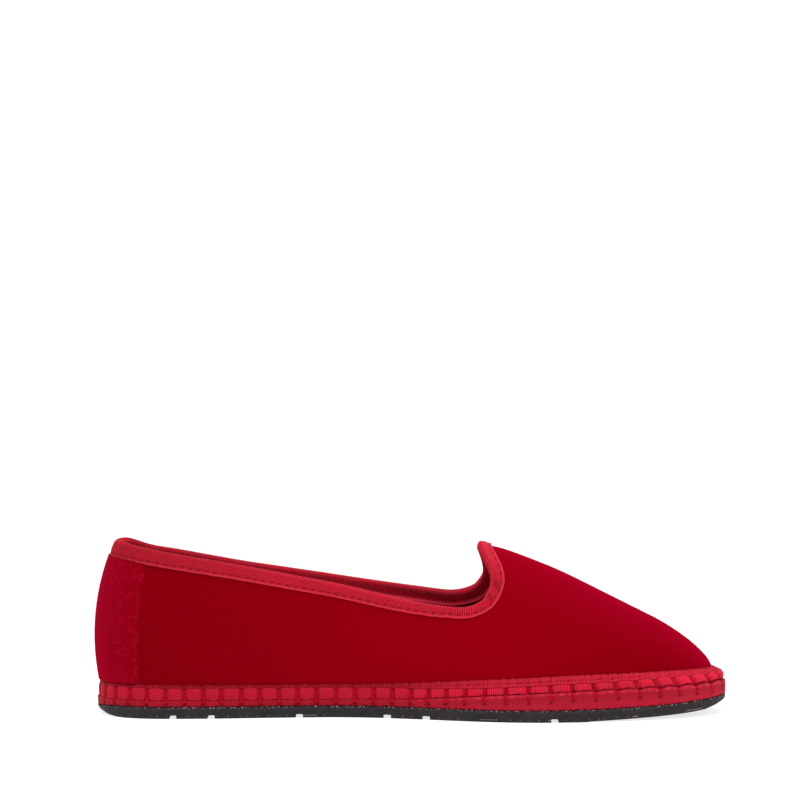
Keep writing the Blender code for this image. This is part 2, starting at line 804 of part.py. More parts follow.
def main():
    clear_scene()
    slipper = collection("slipper")
    cutters = collection("cutters")
    velvet = material("velvet", (0.27, 0.001, 0.007), 0.9)
    heel_velvet = material("heel_velvet", (0.33, 0.002, 0.014), 0.9)
    ribbon = material("ribbon", (0.50, 0.012, 0.028), 0.75)
    edge_ribbon = material("edge_ribbon", (0.47, 0.010, 0.026), 0.75)
    rubber = material("rubber", (0.030, 0.027, 0.028), 0.6)
    lining = material("lining", (0.20, 0.006, 0.014), 0.9)
    outsole = build_plate("outsole", flush, tread_height, rubber_height, RUBBER_ROUNDING, slipper, rubber)
    cut_grooves(outsole, cutters)
    build_plate(
        "sole_band",
        flush,
        lambda x: rubber_height(x) + GAP,
        seam_height,
        BAND_ROUNDING,
        slipper,
        edge_ribbon,
    )
    build_plate(
        "insole",
        lambda x: welt_inner(x) + GAP,
        lambda x: seam_height(x) + GAP,
        insole_height,
        BAND_ROUNDING,
        slipper,
        lining,
    )
    build_welt(slipper, edge_ribbon)
    build_upper(slipper, velvet)
    skin = Skin()
    build_collar_ribbon(skin, slipper, ribbon)
    build_heel_patch(skin, slipper, heel_velvet)
    skin.bm.free()


main()
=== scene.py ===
# %% [markdown]
# # A velvet slipper, piece by piece
# The slipper is a low velvet shoe. A grosgrain ribbon binds its collar, a second ribbon is whip-stitched round the
# edge of the sole, a third covers the edge of the sole's board, and all of it stands on thin black rubber. The CAD
# solids give the sizes. They are loaded first and never moved; each piece below takes the place of one of them.

# %% Load the fixed frame
import math

import bmesh
import bpy
import numpy as np
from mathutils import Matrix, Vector
from mathutils.bvhtree import BVHTree
from mathutils.interpolate import poly_3d_calc


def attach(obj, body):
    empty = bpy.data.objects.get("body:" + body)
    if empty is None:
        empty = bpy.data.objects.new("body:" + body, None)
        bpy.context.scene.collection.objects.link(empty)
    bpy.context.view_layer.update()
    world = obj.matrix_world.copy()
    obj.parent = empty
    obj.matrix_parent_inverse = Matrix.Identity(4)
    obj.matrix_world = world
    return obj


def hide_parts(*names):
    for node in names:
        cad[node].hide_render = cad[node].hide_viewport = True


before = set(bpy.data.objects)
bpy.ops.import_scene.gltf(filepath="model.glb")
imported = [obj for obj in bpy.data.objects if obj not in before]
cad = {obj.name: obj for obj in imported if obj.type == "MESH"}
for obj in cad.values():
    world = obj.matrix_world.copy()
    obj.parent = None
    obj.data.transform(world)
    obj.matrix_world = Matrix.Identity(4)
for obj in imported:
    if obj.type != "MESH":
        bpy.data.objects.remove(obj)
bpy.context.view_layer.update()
print("CAD nodes:", ", ".join(sorted(cad)))


# %% Helpers for objects and materials
def placed(name, data):
    """A new object in the scene."""
    made = bpy.data.objects.new(name, data)
    bpy.context.collection.objects.link(made)
    return made


def object_from(bm, name, *looks):
    """An object of a bmesh, shaded smooth, with these materials."""
    mesh = bpy.data.meshes.new(name)
    bm.to_mesh(mesh)
    bm.free()
    mesh.shade_smooth()
    for look in looks:
        mesh.materials.append(look)
    return placed(name, mesh)


def new_look(name, colour, roughness, specular):
    """A material with its Principled shader set, and that shader."""
    look = bpy.data.materials.new(name)
    look.use_nodes = True
    shader = look.node_tree.nodes["Principled BSDF"]
    shader.inputs["Base Color"].default_value = (*colour, 1)
    shader.inputs["Roughness"].default_value = roughness
    shader.inputs["Specular IOR Level"].default_value = specular
    look.diffuse_color = (*colour, 1)
    return look, shader


# %% [markdown]
# ## Camera, floor and light
# A product photograph like this one is taken from far away with a long lens, a little above the floor, so that the
# shoe's side looks almost flat. The camera stands 1.5 m off and 5.5 degrees up, and is tilted so that the slipper
# comes low in the frame. A white dish serves as floor and backdrop in one: it has no horizon from any side. It glows
# a little by itself, like a light table, which is why the photograph shows hardly any shadow under the sole.

# %% Camera
CAMERA_DISTANCE = 1.5
CAMERA_HEIGHT_ANGLE = math.radians(5.5)
AIM = Vector((0, 0, 0.035))
LENS_PIXELS = 3743
AIM_PIXEL = (409.3, 622.3)
IMAGE = 800

lens = bpy.data.cameras.new("camera")
lens.sensor_width = 36
lens.lens = LENS_PIXELS * 36 / IMAGE
lens.clip_end = 50
camera = placed("camera", lens)
bpy.context.scene.camera = camera
up = math.sin(CAMERA_HEIGHT_ANGLE) * CAMERA_DISTANCE
away = math.cos(CAMERA_HEIGHT_ANGLE) * CAMERA_DISTANCE
camera.location = AIM + Vector((0, -away, up))
tilt = math.pi / 2 - CAMERA_HEIGHT_ANGLE + math.atan((AIM_PIXEL[1] - IMAGE / 2) / LENS_PIXELS)
turn = math.atan((AIM_PIXEL[0] - IMAGE / 2) / LENS_PIXELS)
camera.rotation_euler = (tilt, 0, turn)
print("camera stands", round(up * 1000), "mm over the aim and", round(away * 1000), "mm away")

# %% Floor
FLOOR_RADIUS = 5.0
bm = bmesh.new()
bmesh.ops.create_circle(bm, cap_ends=True, segments=96, radius=FLOOR_RADIUS)
rim = [edge for edge in bm.edges if edge.is_boundary]
for step in range(1, 9):
    angle = math.radians(10 * step)
    raised = bmesh.ops.extrude_edge_only(bm, edges=rim)["geom"]
    rim = [item for item in raised if isinstance(item, bmesh.types.BMEdge)]
    for vert in {vert for edge in rim for vert in edge.verts}:
        flat = Vector((vert.co.x, vert.co.y, 0)).normalized()
        vert.co = flat * (FLOOR_RADIUS + 2 * math.sin(angle)) + Vector((0, 0, 2 - 2 * math.cos(angle)))
bmesh.ops.recalc_face_normals(bm, faces=bm.faces)
pale, glow = new_look("pale_floor", (0.45, 0.45, 0.45), 1.0, 0.0)
glow.inputs["Emission Color"].default_value = (1, 1, 1, 1)
glow.inputs["Emission Strength"].default_value = 0.75
floor = object_from(bm, "floor", pale)

# %% Light
world = bpy.data.worlds.new("studio")
bpy.context.scene.world = world
world.use_nodes = True
sky = world.node_tree.nodes["Background"]
sky.inputs["Color"].default_value = (1, 1, 1, 1)
sky.inputs["Strength"].default_value = 0.86
bpy.context.scene.view_settings.view_transform = "Standard"


def soft_light(name, place, size, power):
    """A square area light that faces the slipper."""
    light = bpy.data.lights.new(name, "AREA")
    light.size = size
    light.energy = power
    lamp = placed(name, light)
    lamp.location = place
    lamp.rotation_euler = (AIM - Vector(place)).to_track_quat("-Z", "Y").to_euler()


soft_light("key", (-0.1, -0.6, 2.4), 1.4, 27)
soft_light("fill", (1.8, -1.4, 1.0), 1.6, 4)
print("lights: a white world, a key from above and a weak fill from the right")

# %% [markdown]
# ## Finishes
# Every finish here is made of nodes. Patterns that belong to the cloth itself read the piece's own UV map, so the
# ribs of a ribbon follow it round a corner; clouds and specks that don't care about direction read Object coordinates.
# One small helper adds a node, sets it and links it, so that each finish reads like a recipe.

# %% Helpers for nodes
def add(look, kind, inputs=None, **settings):
    """A new node in a material. An input that is given a socket is linked to it; any other value is set."""
    made = look.node_tree.nodes.new(kind)
    for key, value in settings.items():
        setattr(made, key, value)
    for key, value in (inputs or {}).items():
        if isinstance(value, bpy.types.NodeSocket):
            look.node_tree.links.new(value, made.inputs[key])
        else:
            made.inputs[key].default_value = value
    return made


def maths(look, operation, *values):
    """A Math node on one or two numbers or sockets."""
    return add(look, "ShaderNodeMath", dict(enumerate(values)), operation=operation).outputs[0]


def spread(look, value, low, high):
    """Stretches a value so that low becomes 0 and high becomes 1."""
    return add(look, "ShaderNodeMapRange", {"Value": value, "From Min": low, "From Max": high}).outputs["Result"]


def mix_colours(look, share, dark, light):
    """A colour between two others, each given as three numbers or as a socket."""
    dark, light = ((*end, 1) if isinstance(end, tuple) else end for end in (dark, light))
    return add(look, "ShaderNodeMix", {0: share, 6: dark, 7: light}, data_type="RGBA").outputs[2]


def cloud(look, size, detail=2.0, low=0.35, high=0.65):
    """Soft blotches about that many metres across, from 0 to 1."""
    place = add(look, "ShaderNodeTexCoord").outputs["Object"]
    blotch = add(look, "ShaderNodeTexNoise", {"Vector": place, "Scale": 1 / size, "Detail": detail})
    return spread(look, blotch.outputs["Fac"], low, high)


def attribute(look, name):
    return add(look, "ShaderNodeAttribute", attribute_name=name).outputs["Fac"]


def finish(look, shader, colour, grain, depth, strength):
    """Gives a shader its colour and a fine relief, with a grain and a depth in metres."""
    bump = add(look, "ShaderNodeBump", {"Strength": strength, "Distance": depth, "Height": cloud(look, grain, 1.0)})
    look.node_tree.links.new(colour, shader.inputs["Base Color"])
    look.node_tree.links.new(bump.outputs["Normal"], shader.inputs["Normal"])


def sheen(shader, *tint):
    """A faint glow of that tint where the cloth is seen at a glancing angle."""
    for name, value in (("Weight", 0.10), ("Roughness", 0.4), ("Tint", (*tint, 1))):
        shader.inputs["Sheen " + name].default_value = value


# %% [markdown]
# ## Velvet
# Velvet is a short upright pile. Looked at straight on, light falls between the fibres and the cloth looks deep red;
# at a glancing angle the fibres' sides catch it and the edge of the shape glows paler and pinker. The Principled
# shader's sheen does that, helped by a painted sheen: a Layer Weight that lifts the colour at the rim. On the heel
# panel a faint cloud is the nap lying one way or another; on the rest of the velvet both ends of the shoe are painted
# darker, a painted shade. A very fine noise is the pile itself.

# %% Velvet finishes
def velvet_look(name, deep, body, rim, nap_and_shade, fleck):
    """A pile cloth between two reds, paler at its silhouette by painted sheen, and flecked where the nap stands up."""
    look, shader = new_look(name, body, 0.9, 0.0)
    # Painted shade on the main velvet, darker at both ends of the shoe; on the heel panel, the nap's blotches.
    ground = mix_colours(look, nap_and_shade(look), deep, body)
    brushed = mix_colours(look, cloud(look, 0.0016, 2.0, 0.55, 0.80), ground, fleck)
    # Painted sheen: towards the silhouette the colour is lifted to a paler, pinker red.
    facing = add(look, "ShaderNodeLayerWeight", {"Blend": 0.35}).outputs["Facing"]
    with_painted_sheen = mix_colours(look, spread(look, facing, 0.10, 0.95), brushed, rim)
    sheen(shader, 1.0, 0.02, 0.10)
    finish(look, shader, with_painted_sheen, 0.0009, 0.0001, 0.5)
    return look


def painted_end_shade(look):
    """Painted shade: 0 at both ends of the shoe, which are painted darker, and 1 over its middle."""
    place = add(look, "ShaderNodeTexCoord").outputs["Object"]
    along = add(look, "ShaderNodeSeparateXYZ", {"Vector": place}).outputs["X"]
    return spread(look, maths(look, "ABSOLUTE", maths(look, "SUBTRACT", along, 0.012)), 0.115, 0.020)


def brushed_nap(look):
    """Fine blotches that fade out at the panel's front edge, where its away attribute is 0."""
    return maths(look, "MULTIPLY", cloud(look, 0.0018, 4.0, 0.25, 0.60), attribute(look, "away"))


velvet = velvet_look("velvet_pile", (0.185, 0.0002, 0.0030), (0.240, 0.0002, 0.0043), (0.38, 0.0006, 0.019),
                     painted_end_shade, (0.240, 0.0003, 0.0048))
heel_nap = velvet_look("heel_pile", (0.195, 0.0003, 0.0048), (0.240, 0.0006, 0.0075), (0.32, 0.0014, 0.017),
                       brushed_nap, (0.32, 0.004, 0.018))
print("velvets:", velvet.name, heel_nap.name)

# %% [markdown]
# ## Ribbon, thread and lining
# Grosgrain is a ribbon with a thick weft: fine ribs run across it every 0.7 to 0.9 mm. The ribs on the collar and the
# sole are modelled, and the finish paints shade into the valleys between them by the UV map, one whole number of ribs
# to the ribbon's length. Three attributes are written on the ribbons as they are made: ribbed, where that painted
# valley shade shows; one for painted shade where stitches pull the cloth in, in folds and round the heel; and one for
# a paler colour, partly the woven edge and its fluff, partly a painted highlight where an edge catches the light.

# %% Ribbon finishes
def ribbon_look(name, ridge, valley_shade, ribs):
    """A ribbed ribbon, with painted shade between its ribs and in hollows, a paler woven edge and painted highlights.
    """
    look, shader = new_look(name, ridge, 0.8, 0.10)
    cloth_map = add(look, "ShaderNodeUVMap", uv_map="cloth").outputs["UV"]
    along = add(look, "ShaderNodeSeparateXYZ", {"Vector": cloth_map}).outputs["X"]
    # Painted shade: the rib valleys take the darker valley colour.
    wave = maths(look, "COSINE", maths(look, "MULTIPLY", along, ribs * 2 * math.pi))
    bare = maths(look, "SUBTRACT", 1.0, attribute(look, "ribbed"))
    rib = maths(look, "MAXIMUM", spread(look, wave, -0.9, 0.7), bare)
    dusty = mix_colours(look, cloud(look, 0.006, 3.0), tuple(0.88 * part for part in ridge), ridge)
    ribbed = mix_colours(look, rib, valley_shade, dusty)
    # The paler colour is partly the woven edge and fluff, partly a painted highlight; then painted shade goes to a
    # deep red.
    edged = mix_colours(look, attribute(look, "worn"), ribbed, PALE_EDGE_AND_HIGHLIGHT)
    sheen(shader, 1.0, 0.20, 0.25)
    finish(look, shader, mix_colours(look, attribute(look, "hollow"), edged, PAINTED_SHADE_RED), 0.00035, 0.00006, 0.5)
    return look


def plain_look(name, dark, light, blotch, roughness, specular, grain, depth):
    """A cloth or thread of two close colours with a fine grain."""
    look, shader = new_look(name, light, roughness, specular)
    finish(look, shader, mix_colours(look, cloud(look, blotch, 3.0), dark, light), grain, depth, 0.6)
    return look


# A pale colour for woven edges that also serves for painted highlights, and the deep red of the painted shade.
PALE_EDGE_AND_HIGHLIGHT = (0.78, 0.040, 0.080)
PAINTED_SHADE_RED = (0.17, 0.0006, 0.004)
thread = plain_look("thread", (0.33, 0.0008, 0.011), (0.40, 0.0014, 0.016), 0.002, 0.8, 0.05, 0.0004, 0.00008)
dark_thread = plain_look("collar_thread", (0.26, 0.002, 0.008), (0.34, 0.004, 0.012), 0.002, 0.7, 0.1, 0.0004, 0.00005)
lining = plain_look("lining_cloth", (0.22, 0.004, 0.012), (0.26, 0.006, 0.016), 0.010, 0.9, 0.05, 0.0006, 0.00010)
print("finishes:", ", ".join(look.name for look in bpy.data.materials))

# %% [markdown]
# ## Rubber
# The sheet under the sole is matt black rubber. Pale crumbs stick in its sawn edge: fluff caught in the glue line
# along the top, and a row of flecks near the floor. Two attributes say where: one for a fleck itself, and fuzzy for
# the part where a fine noise scatters crumbs.

# %% Rubber finish
rubber, shader = new_look("black_rubber", (0.020, 0.017, 0.019), 0.55, 0.15)
crumbs = cloud(rubber, 0.0007, 0.0, 0.62, 0.70)
fuzz = maths(rubber, "MULTIPLY", crumbs, attribute(rubber, "fuzzy"))
shown = maths(rubber, "MAXIMUM", fuzz, attribute(rubber, "worn"))
black = mix_colours(rubber, cloud(rubber, 0.006, 3.0), (0.015, 0.013, 0.0145), (0.022, 0.019, 0.0205))
finish(rubber, shader, mix_colours(rubber, shown, black, (0.55, 0.42, 0.44)), 0.0005, 0.00003, 0.6)

# %% [markdown]
# ## Reading the solids
# The pieces are laid on the solids, so the script first reads those. A CAD node is a heap of loose triangles: a copy
# of it is merged, the outer face of the shell is kept, its triangles are joined back into quads and smoothed. A
# closed line is read through a smooth curve, and a surface through a tree that finds the nearest point on it.

# %% Helpers that read the solids
def merged_copy(name):
    """A bmesh of a CAD node, with its loose triangles merged."""
    bm = bmesh.new()
    bm.from_mesh(cad[name].data)
    bmesh.ops.remove_doubles(bm, verts=bm.verts, dist=2e-6)
    bm.normal_update()
    return bm


def join_quads(bm):
    """Pairs the triangles back into the quads that they came from."""
    wide = math.radians(60)
    bmesh.ops.join_triangles(bm, faces=bm.faces, angle_face_threshold=wide, angle_shape_threshold=wide)


def evaluated(made):
    """A bmesh of an object with its modifiers applied."""
    bm = bmesh.new()
    bm.from_object(made, bpy.context.evaluated_depsgraph_get())
    return bm


def smoothed(bm, levels):
    """The bmesh after that many rounds of Catmull-Clark subdivision."""
    helper = object_from(bm, "helper")
    round_off = helper.modifiers.new("smooth", "SUBSURF")
    round_off.levels = round_off.render_levels = levels
    fine = evaluated(helper)
    mesh = helper.data
    bpy.data.objects.remove(helper)
    bpy.data.meshes.remove(mesh)
    return fine


class Surface:
    """A smooth surface that finds its own nearest point and the normal there."""

    def __init__(self, bm):
        self.bm = bm.copy()
        self.bm.faces.ensure_lookup_table()
        self.bm.normal_update()
        self.tree = BVHTree.FromBMesh(self.bm)

    def at(self, point):
        place, _, index, _ = self.tree.find_nearest(Vector(point))
        corners = self.bm.faces[index].verts
        weights = poly_3d_calc([vert.co for vert in corners], place)
        normal = sum((vert.normal * weight for vert, weight in zip(corners, weights)), Vector())
        return place, normal.normalized()


class ClosedLine:
    """Numbers given at points round a closed line, read smoothly at any distance along it."""

    def __init__(self, points, values):
        gaps = np.linalg.norm(np.roll(points, -1, 0) - points, axis=1)
        self.knots = np.concatenate([[0], np.cumsum(gaps)])
        self.length = self.knots[-1]
        slopes = (np.roll(values, -1, 0) - np.roll(values, 1, 0)) / (gaps + np.roll(gaps, 1))[:, None]
        self.values, self.slopes = (np.concatenate([given, given[:1]]) for given in (values, slopes))

    def at(self, distance):
        distance = np.mod(distance, self.length)
        k = np.clip(np.searchsorted(self.knots, distance, side="right") - 1, 0, len(self.knots) - 2)
        run = (self.knots[k + 1] - self.knots[k])[:, None]
        t = (distance - self.knots[k])[:, None] / run
        ends = (2 * t**3 - 3 * t**2 + 1) * self.values[k] + (3 * t**2 - 2 * t**3) * self.values[k + 1]
        pulls = (t**3 - 2 * t**2 + t) * self.slopes[k] + (t**3 - t**2) * self.slopes[k + 1]
        return ends + run * pulls

    def spaced(self, columns):
        """That many distances along the line, evenly spaced."""
        return np.arange(columns) * self.length / columns


def rims(bm):
    """The open edges of a sheet: each rim as points in order, from its rearmost one towards the inner side."""
    open_edges = [edge for edge in bm.edges if edge.is_boundary]
    left = set(open_edges)
    found = []
    for first in open_edges:
        if first not in left:
            continue
        left.discard(first)
        walk = [first.verts[0], first.verts[1]]
        while walk[-1] is not walk[0]:
            step = next(edge for edge in walk[-1].link_edges if edge in left)
            left.discard(step)
            walk.append(step.other_vert(walk[-1]))
        points = np.array([vert.co for vert in walk[:-1]])
        points = np.roll(points, -int(points[:, 0].argmin()), 0)
        if points[5, 1] > points[-5, 1]:
            points = np.roll(points[::-1], 1, 0)
        found.append(points)
    return found


def steps(low, high, value):
    """Eases from 0 to 1 as the value goes from low to high."""
    share = np.clip((value - low) / (high - low), 0, 1)
    return share * share * (3 - 2 * share)


# %% The shell's outer face, and the sole's outline
shell = merged_copy("upper")
reached = [min(shell.faces, key=lambda face: face.calc_center_median().x)]
kept = set(reached)
while reached:
    for edge in reached.pop().edges:
        if edge.calc_face_angle(0.0) < math.radians(50):
            fresh = [face for face in edge.link_faces if face not in kept]
            kept.update(fresh)
            reached.extend(fresh)
bmesh.ops.delete(shell, geom=[face for face in shell.faces if face not in kept], context="FACES")
join_quads(shell)
print("outer face:", len(shell.faces), "faces,", sum(len(face.verts) == 3 for face in shell.faces), "still triangles")
cloth = smoothed(shell, 2)
skin = Surface(cloth)
collar_rim, foot_rim = sorted(rims(cloth), key=lambda points: -points[:, 2].max())
print("collar round:", len(collar_rim), "points; foot round:", len(foot_rim), "points")

board = merged_copy("sole_band")
wall = [face for face in board.faces if abs(face.normal.z) < 0.02]
bmesh.ops.delete(board, geom=[face for face in board.faces if face not in wall], context="FACES")
outline = max(rims(board), key=lambda points: points[:, 2].mean())[:, :2]
board.free()
print("sole's outline:", len(outline), "points")

# %% [markdown]
# ## Strips of cloth
# A ribbon comes off its reel flat, so every ribbon here starts as a flat grid with its own UV map. The grid's
# corners are then moved to where the ribbon goes: one way runs round the shoe, the other across the ribbon. Where
# the ends meet they are merged, and the normals are turned outwards. Nothing handmade is quite even, so a wobble of
# a few waves, one whole number of each to the round, is added where cloth puckers.

# %% Helpers for strips
def strip(name, laid, look, across_closed=True):
    """A grid moved onto rows of points, closed round the shoe. Each row comes with its marks, made attributes."""
    points = np.stack([row for row, _ in laid], axis=1)
    names = laid[0][1].keys()
    values = {key: np.stack([np.broadcast_to(row[key], len(points)) for _, row in laid], axis=1) for key in names}
    columns, rows = points.shape[:2]
    across = rows if across_closed else rows - 1
    bm = bmesh.new()
    bm.loops.layers.uv.new("cloth")
    layers = {key: bm.verts.layers.float.new(key) for key in names}
    bmesh.ops.create_grid(bm, x_segments=columns, y_segments=across, size=0.5, calc_uvs=True)
    for vert in bm.verts:
        i = round((vert.co.x + 0.5) * columns) % columns
        j = round((vert.co.y + 0.5) * across) % rows
        vert.co = points[i, j]
        for key, layer in layers.items():
            vert[layer] = values[key][i, j]
    bmesh.ops.remove_doubles(bm, verts=bm.verts, dist=1e-6)
    if not across_closed:
        bmesh.ops.holes_fill(bm, edges=[edge for edge in bm.edges if edge.is_boundary], sides=0)
    bmesh.ops.recalc_face_normals(bm, faces=bm.faces)
    made = object_from(bm, name, look)
    print(name, len(made.data.polygons), "faces")
    return made


def marks(hollow, worn, ribbed):
    """A row's marks: painted shade, paleness (edge, fluff, painted highlight) and ribs; one number or one per column.
    """
    return {"hollow": hollow, "worn": worn, "ribbed": ribbed}


def stand_for(piece, node):
    """Puts a piece on the slipper's one body, in place of a CAD node, which it hides."""
    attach(piece, "root")
    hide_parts(node)


def bump_at(distance, width):
    """A soft bump, 1 at no distance and about 0 at twice the width."""
    return np.exp(-((distance / width) ** 2))


def rib_wave(columns, per_rib):
    """1 on the ridge of each rib and -1 in the valleys, with that many columns to a rib."""
    return np.cos(2 * math.pi * np.arange(columns) / per_rib)


def limited(mark):
    """A mark kept from 0 to 0.9, so that the cloth's own colour never quite vanishes under it."""
    return np.clip(mark, 0, 0.9)


def wobble(distance, length, pitch, seed):
    """An uneven wave round a closed line, about that pitch and from -1 to 1."""
    draw = np.random.default_rng(seed)
    total = 0
    for share in (0.62, 0.83, 1.0, 1.21, 1.47):
        total = total + np.sin(2 * math.pi * (round(share * length / pitch) * distance / length + draw.random()))
    return total / 3


# %% [markdown]
# ## The velvet shell and its lining
# The upper is a velvet glued to a thin lining: two cloths in one 2 mm wall. Both start from the same smooth sheet.
# Solidify gives the velvet its thickness inwards, so its face stays where the CAD's is; the lining is the same sheet
# moved inside it.

# %% Velvet and lining
VELVET_THICKNESS = 0.0012
LINING_THICKNESS = 0.0006


def walled(bm, name, thickness, look):
    """A sheet given its thickness inwards."""
    made = object_from(bm, name, look)
    wall = made.modifiers.new("wall", "SOLIDIFY")
    wall.thickness = thickness
    wall.offset = -1
    return made


inside = cloth.copy()
inside.normal_update()
moves = [vert.normal * (VELVET_THICKNESS + 0.0001) for vert in inside.verts]
for vert, move in zip(inside.verts, moves):
    vert.co -= move
lining_sheet = walled(inside, "lining_sheet", LINING_THICKNESS, lining)
stand_for(lining_sheet, "upper")
velvet_upper = walled(cloth.copy(), "velvet_upper", VELVET_THICKNESS, velvet)
stand_for(velvet_upper, "upper")
print("velvet upper:", len(velvet_upper.data.polygons), "faces before its wall")

# %% [markdown]
# ## Threads
# A stitch is a short piece of thread that dives into the cloth at both ends. Each starts as a small sphere, which is
# a closed shape with few faces; its length is drawn out along the stitch's path and its ends stay round.

# %% Thread helpers
def lay_thread(bm, path, radius, sides, lengths, flatness, aside):
    """A short thread along a path of points, made from a sphere; aside is its broad way when it is pressed flat."""
    made = bmesh.ops.create_uvsphere(bm, u_segments=sides, v_segments=lengths, radius=1.0)["verts"]
    for vert in made:
        t = min(max((vert.co.z + 1) / 2, 0), 1) * (len(path) - 1)
        k = min(int(t), len(path) - 2)
        ahead = (path[k + 1] - path[k]).normalized()
        broad = (aside - ahead * aside.dot(ahead)).normalized()
        narrow = ahead.cross(broad) * flatness
        flat = Vector((vert.co.x, vert.co.y))
        if flat.length > 1e-6:
            round_end = max(1 - abs(vert.co.z) ** 6, 0) ** 0.5
            flat = flat.normalized() * radius * round_end * (0.88 + 0.12 * vert.co.z)
        vert.co = path[k].lerp(path[k + 1], t - k) + broad * flat.x + narrow * flat.y


def threads(name, paths, radius, look, sides=6, lengths=5, flatness=1.0, asides=None):
    """All the threads of one row, as one piece on the slipper's body."""
    bm = bmesh.new()
    axes = [Vector((1, 0, 0)), Vector((0, 1, 0)), Vector((0, 0, 1))]
    for n, path in enumerate(paths):
        path = [Vector(point) for point in path]
        run = path[-1] - path[0]
        aside = asides[n] if asides else min(axes, key=lambda axis: abs(axis.dot(run)))
        lay_thread(bm, path, radius, sides, lengths, flatness, aside)
    made = object_from(bm, name, look)
    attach(made, "root")
    print(name, len(paths), "threads,", len(made.data.polygons), "faces")


# %% [markdown]
# ## The heel panel
# A second piece of velvet covers the back of the heel, its nap brushed another way, so it looks paler. The CAD patch
# has its shape. Its rims are creased before smoothing so that it keeps its outline. Its front edge is cut thin and
# glued down, so it is brought almost flush with the velvet, and a fine row of stitches runs 1.8 mm behind it. The
# rims' edges are marked sharp: their thin sides would otherwise darken the faces beside them.

# %% Heel panel
FLUSH = 0.00005
patch = merged_copy("heel_patch")
join_quads(patch)
crease = patch.edges.layers.float.new("crease_edge")
for edge in patch.edges:
    if edge.calc_face_angle(0.0) > math.radians(50):
        edge[crease] = 1.0
patch = smoothed(patch, 3)
places = np.array([vert.co for vert in patch.verts])
on_side = {side: places[places[:, 1] * side > 0.004] for side in (-1, 1)}
front_heights = np.linspace(places[:, 2].min(), places[:, 2].max(), 60)


def panel_front(heights, side):
    """The panel's front edge, as its x at each height on one side of the heel."""
    own = on_side[side]
    ends = [own[np.abs(own[:, 2] - z) < 0.0012][:, 0].max() for z in front_heights]
    return np.interp(heights, front_heights, ends)


behind = np.where(places[:, 1] < 0, panel_front(places[:, 2], -1), panel_front(places[:, 2], 1)) - places[:, 0]
layer = patch.verts.layers.float.new("away")
for vert, gap in zip(patch.verts, behind):
    vert[layer] = float(steps(-0.0004, 0.0022, gap))
    under, facing = skin.at(vert.co)
    raised = (vert.co - under).dot(facing)
    if raised > 0.0001 and gap < 0.006:
        vert.co = under + facing * (FLUSH + (raised - FLUSH) * (0.02 + 0.98 * steps(-0.0005, 0.0060, gap)))
for edge in patch.edges:
    edge.smooth = edge.calc_face_angle(0.0) < math.radians(40)
heel_panel = object_from(patch, "heel_panel", heel_nap)
stand_for(heel_panel, "heel_patch")
print("heel panel:", len(heel_panel.data.polygons), "faces")

# %% Panel stitches
PANEL_PITCH = 0.0024
PANEL_STITCH = 0.0013
BEHIND_FRONT = 0.0018
bm = bmesh.new()
bm.from_mesh(heel_panel.data)
panel_face = Surface(bm)
bm.free()
paths = []
for side, own in on_side.items():
    for z in np.arange(0.0155, 0.0600, PANEL_PITCH):
        ends = []
        for part in (0.0, 0.5, 1.0):
            height = z + PANEL_STITCH * part
            x = float(panel_front(height, side)) - BEHIND_FRONT
            near = own[np.argmin(np.hypot(own[:, 0] - x, own[:, 2] - height))]
            spot, facing = panel_face.at((x, near[1] + side * 0.001, height))
            ends.append(spot + facing * (0.00002 if part == 0.5 else -0.0001))
        paths.append(ends)
threads("panel_stitches", paths, 0.00013, thread)

# %% [markdown]
# ## The collar's binding
# The ribbon is folded over the raw edge: 4 to 6 mm of it lie outside, 5 mm inside. Its cross section is a table of
# rows: how far below the edge, how far off the velvet, and how strongly the ribs show. Each row is laid on the
# velvet by walking down from the collar's line and stepping off along the surface's normal. The ribs lean on the
# quarters and in the throat, because the ribbon was pulled as it was folded. A row of stitches sinks into it a little
# above its lower edge, each dent with painted shade, and below them the woven edge stands free, paler and a little
# wavy, partly by painted highlight. Inside, the other woven edge stands off the lining and is painted paler, a
# painted highlight. Round the heel the ribbon is painted darker, a painted shade, and round the peak paler, a
# painted highlight.

# %% The collar's line, and the directions along it
collar = ClosedLine(collar_rim, collar_rim)
fine = np.linspace(0, collar.length, 1500, endpoint=False)
at_edge = collar.at(fine)
tangents = np.roll(at_edge, -1, 0) - np.roll(at_edge, 1, 0)
tangents /= np.linalg.norm(tangents, axis=1)[:, None]
normals = np.array([skin.at(point)[1] for point in at_edge])
into = np.cross(normals, tangents)
into /= np.linalg.norm(into, axis=1)[:, None]
trial = sum((skin.at(p + 0.003 * d)[0] - Vector(p)).length for p, d in zip(at_edge[::50], into[::50]))
if trial < 30 * 0.0015:
    into = -into
collar_frame = ClosedLine(at_edge, np.hstack([at_edge, normals, into]))
peak_at = fine[int(at_edge[:, 2][300:1200].argmax()) + 300]
print("collar is", round(collar.length * 1000), "mm round, its peak at", round(peak_at * 1000))

# %% How the ribbon runs round the collar
COLLAR_RIBS = 470
RIB_HEIGHT = 0.00015
HEM = 0.0015
STITCHES_ABOVE = 0.00125
STITCH_PITCH = 0.0032
REACH = ((0.0, 6.2), (0.1, 6.0), (0.37, 5.2), (0.63, 4.4), (0.75, 3.7), (0.85, 4.5), (1.0, 4.3))
LEAN = ((0.0, 0.50), (0.35, 0.42), (0.60, 0.26), (0.75, 0.0), (0.80, 0.25), (0.85, 0.80), (0.89, 0.60), (0.95, 0.0),
        (1.0, 0.0))


def from_heel(distance):
    """How far a place on the collar is from the heel to the peak, either way round, from 0 to 1."""
    return np.where(distance < peak_at, distance / peak_at, (collar.length - distance) / (collar.length - peak_at))


def from_table(table, share):
    """The second number of a table's rows, read between them by the first."""
    return np.interp(share, [row[0] for row in table], [row[1] for row in table])


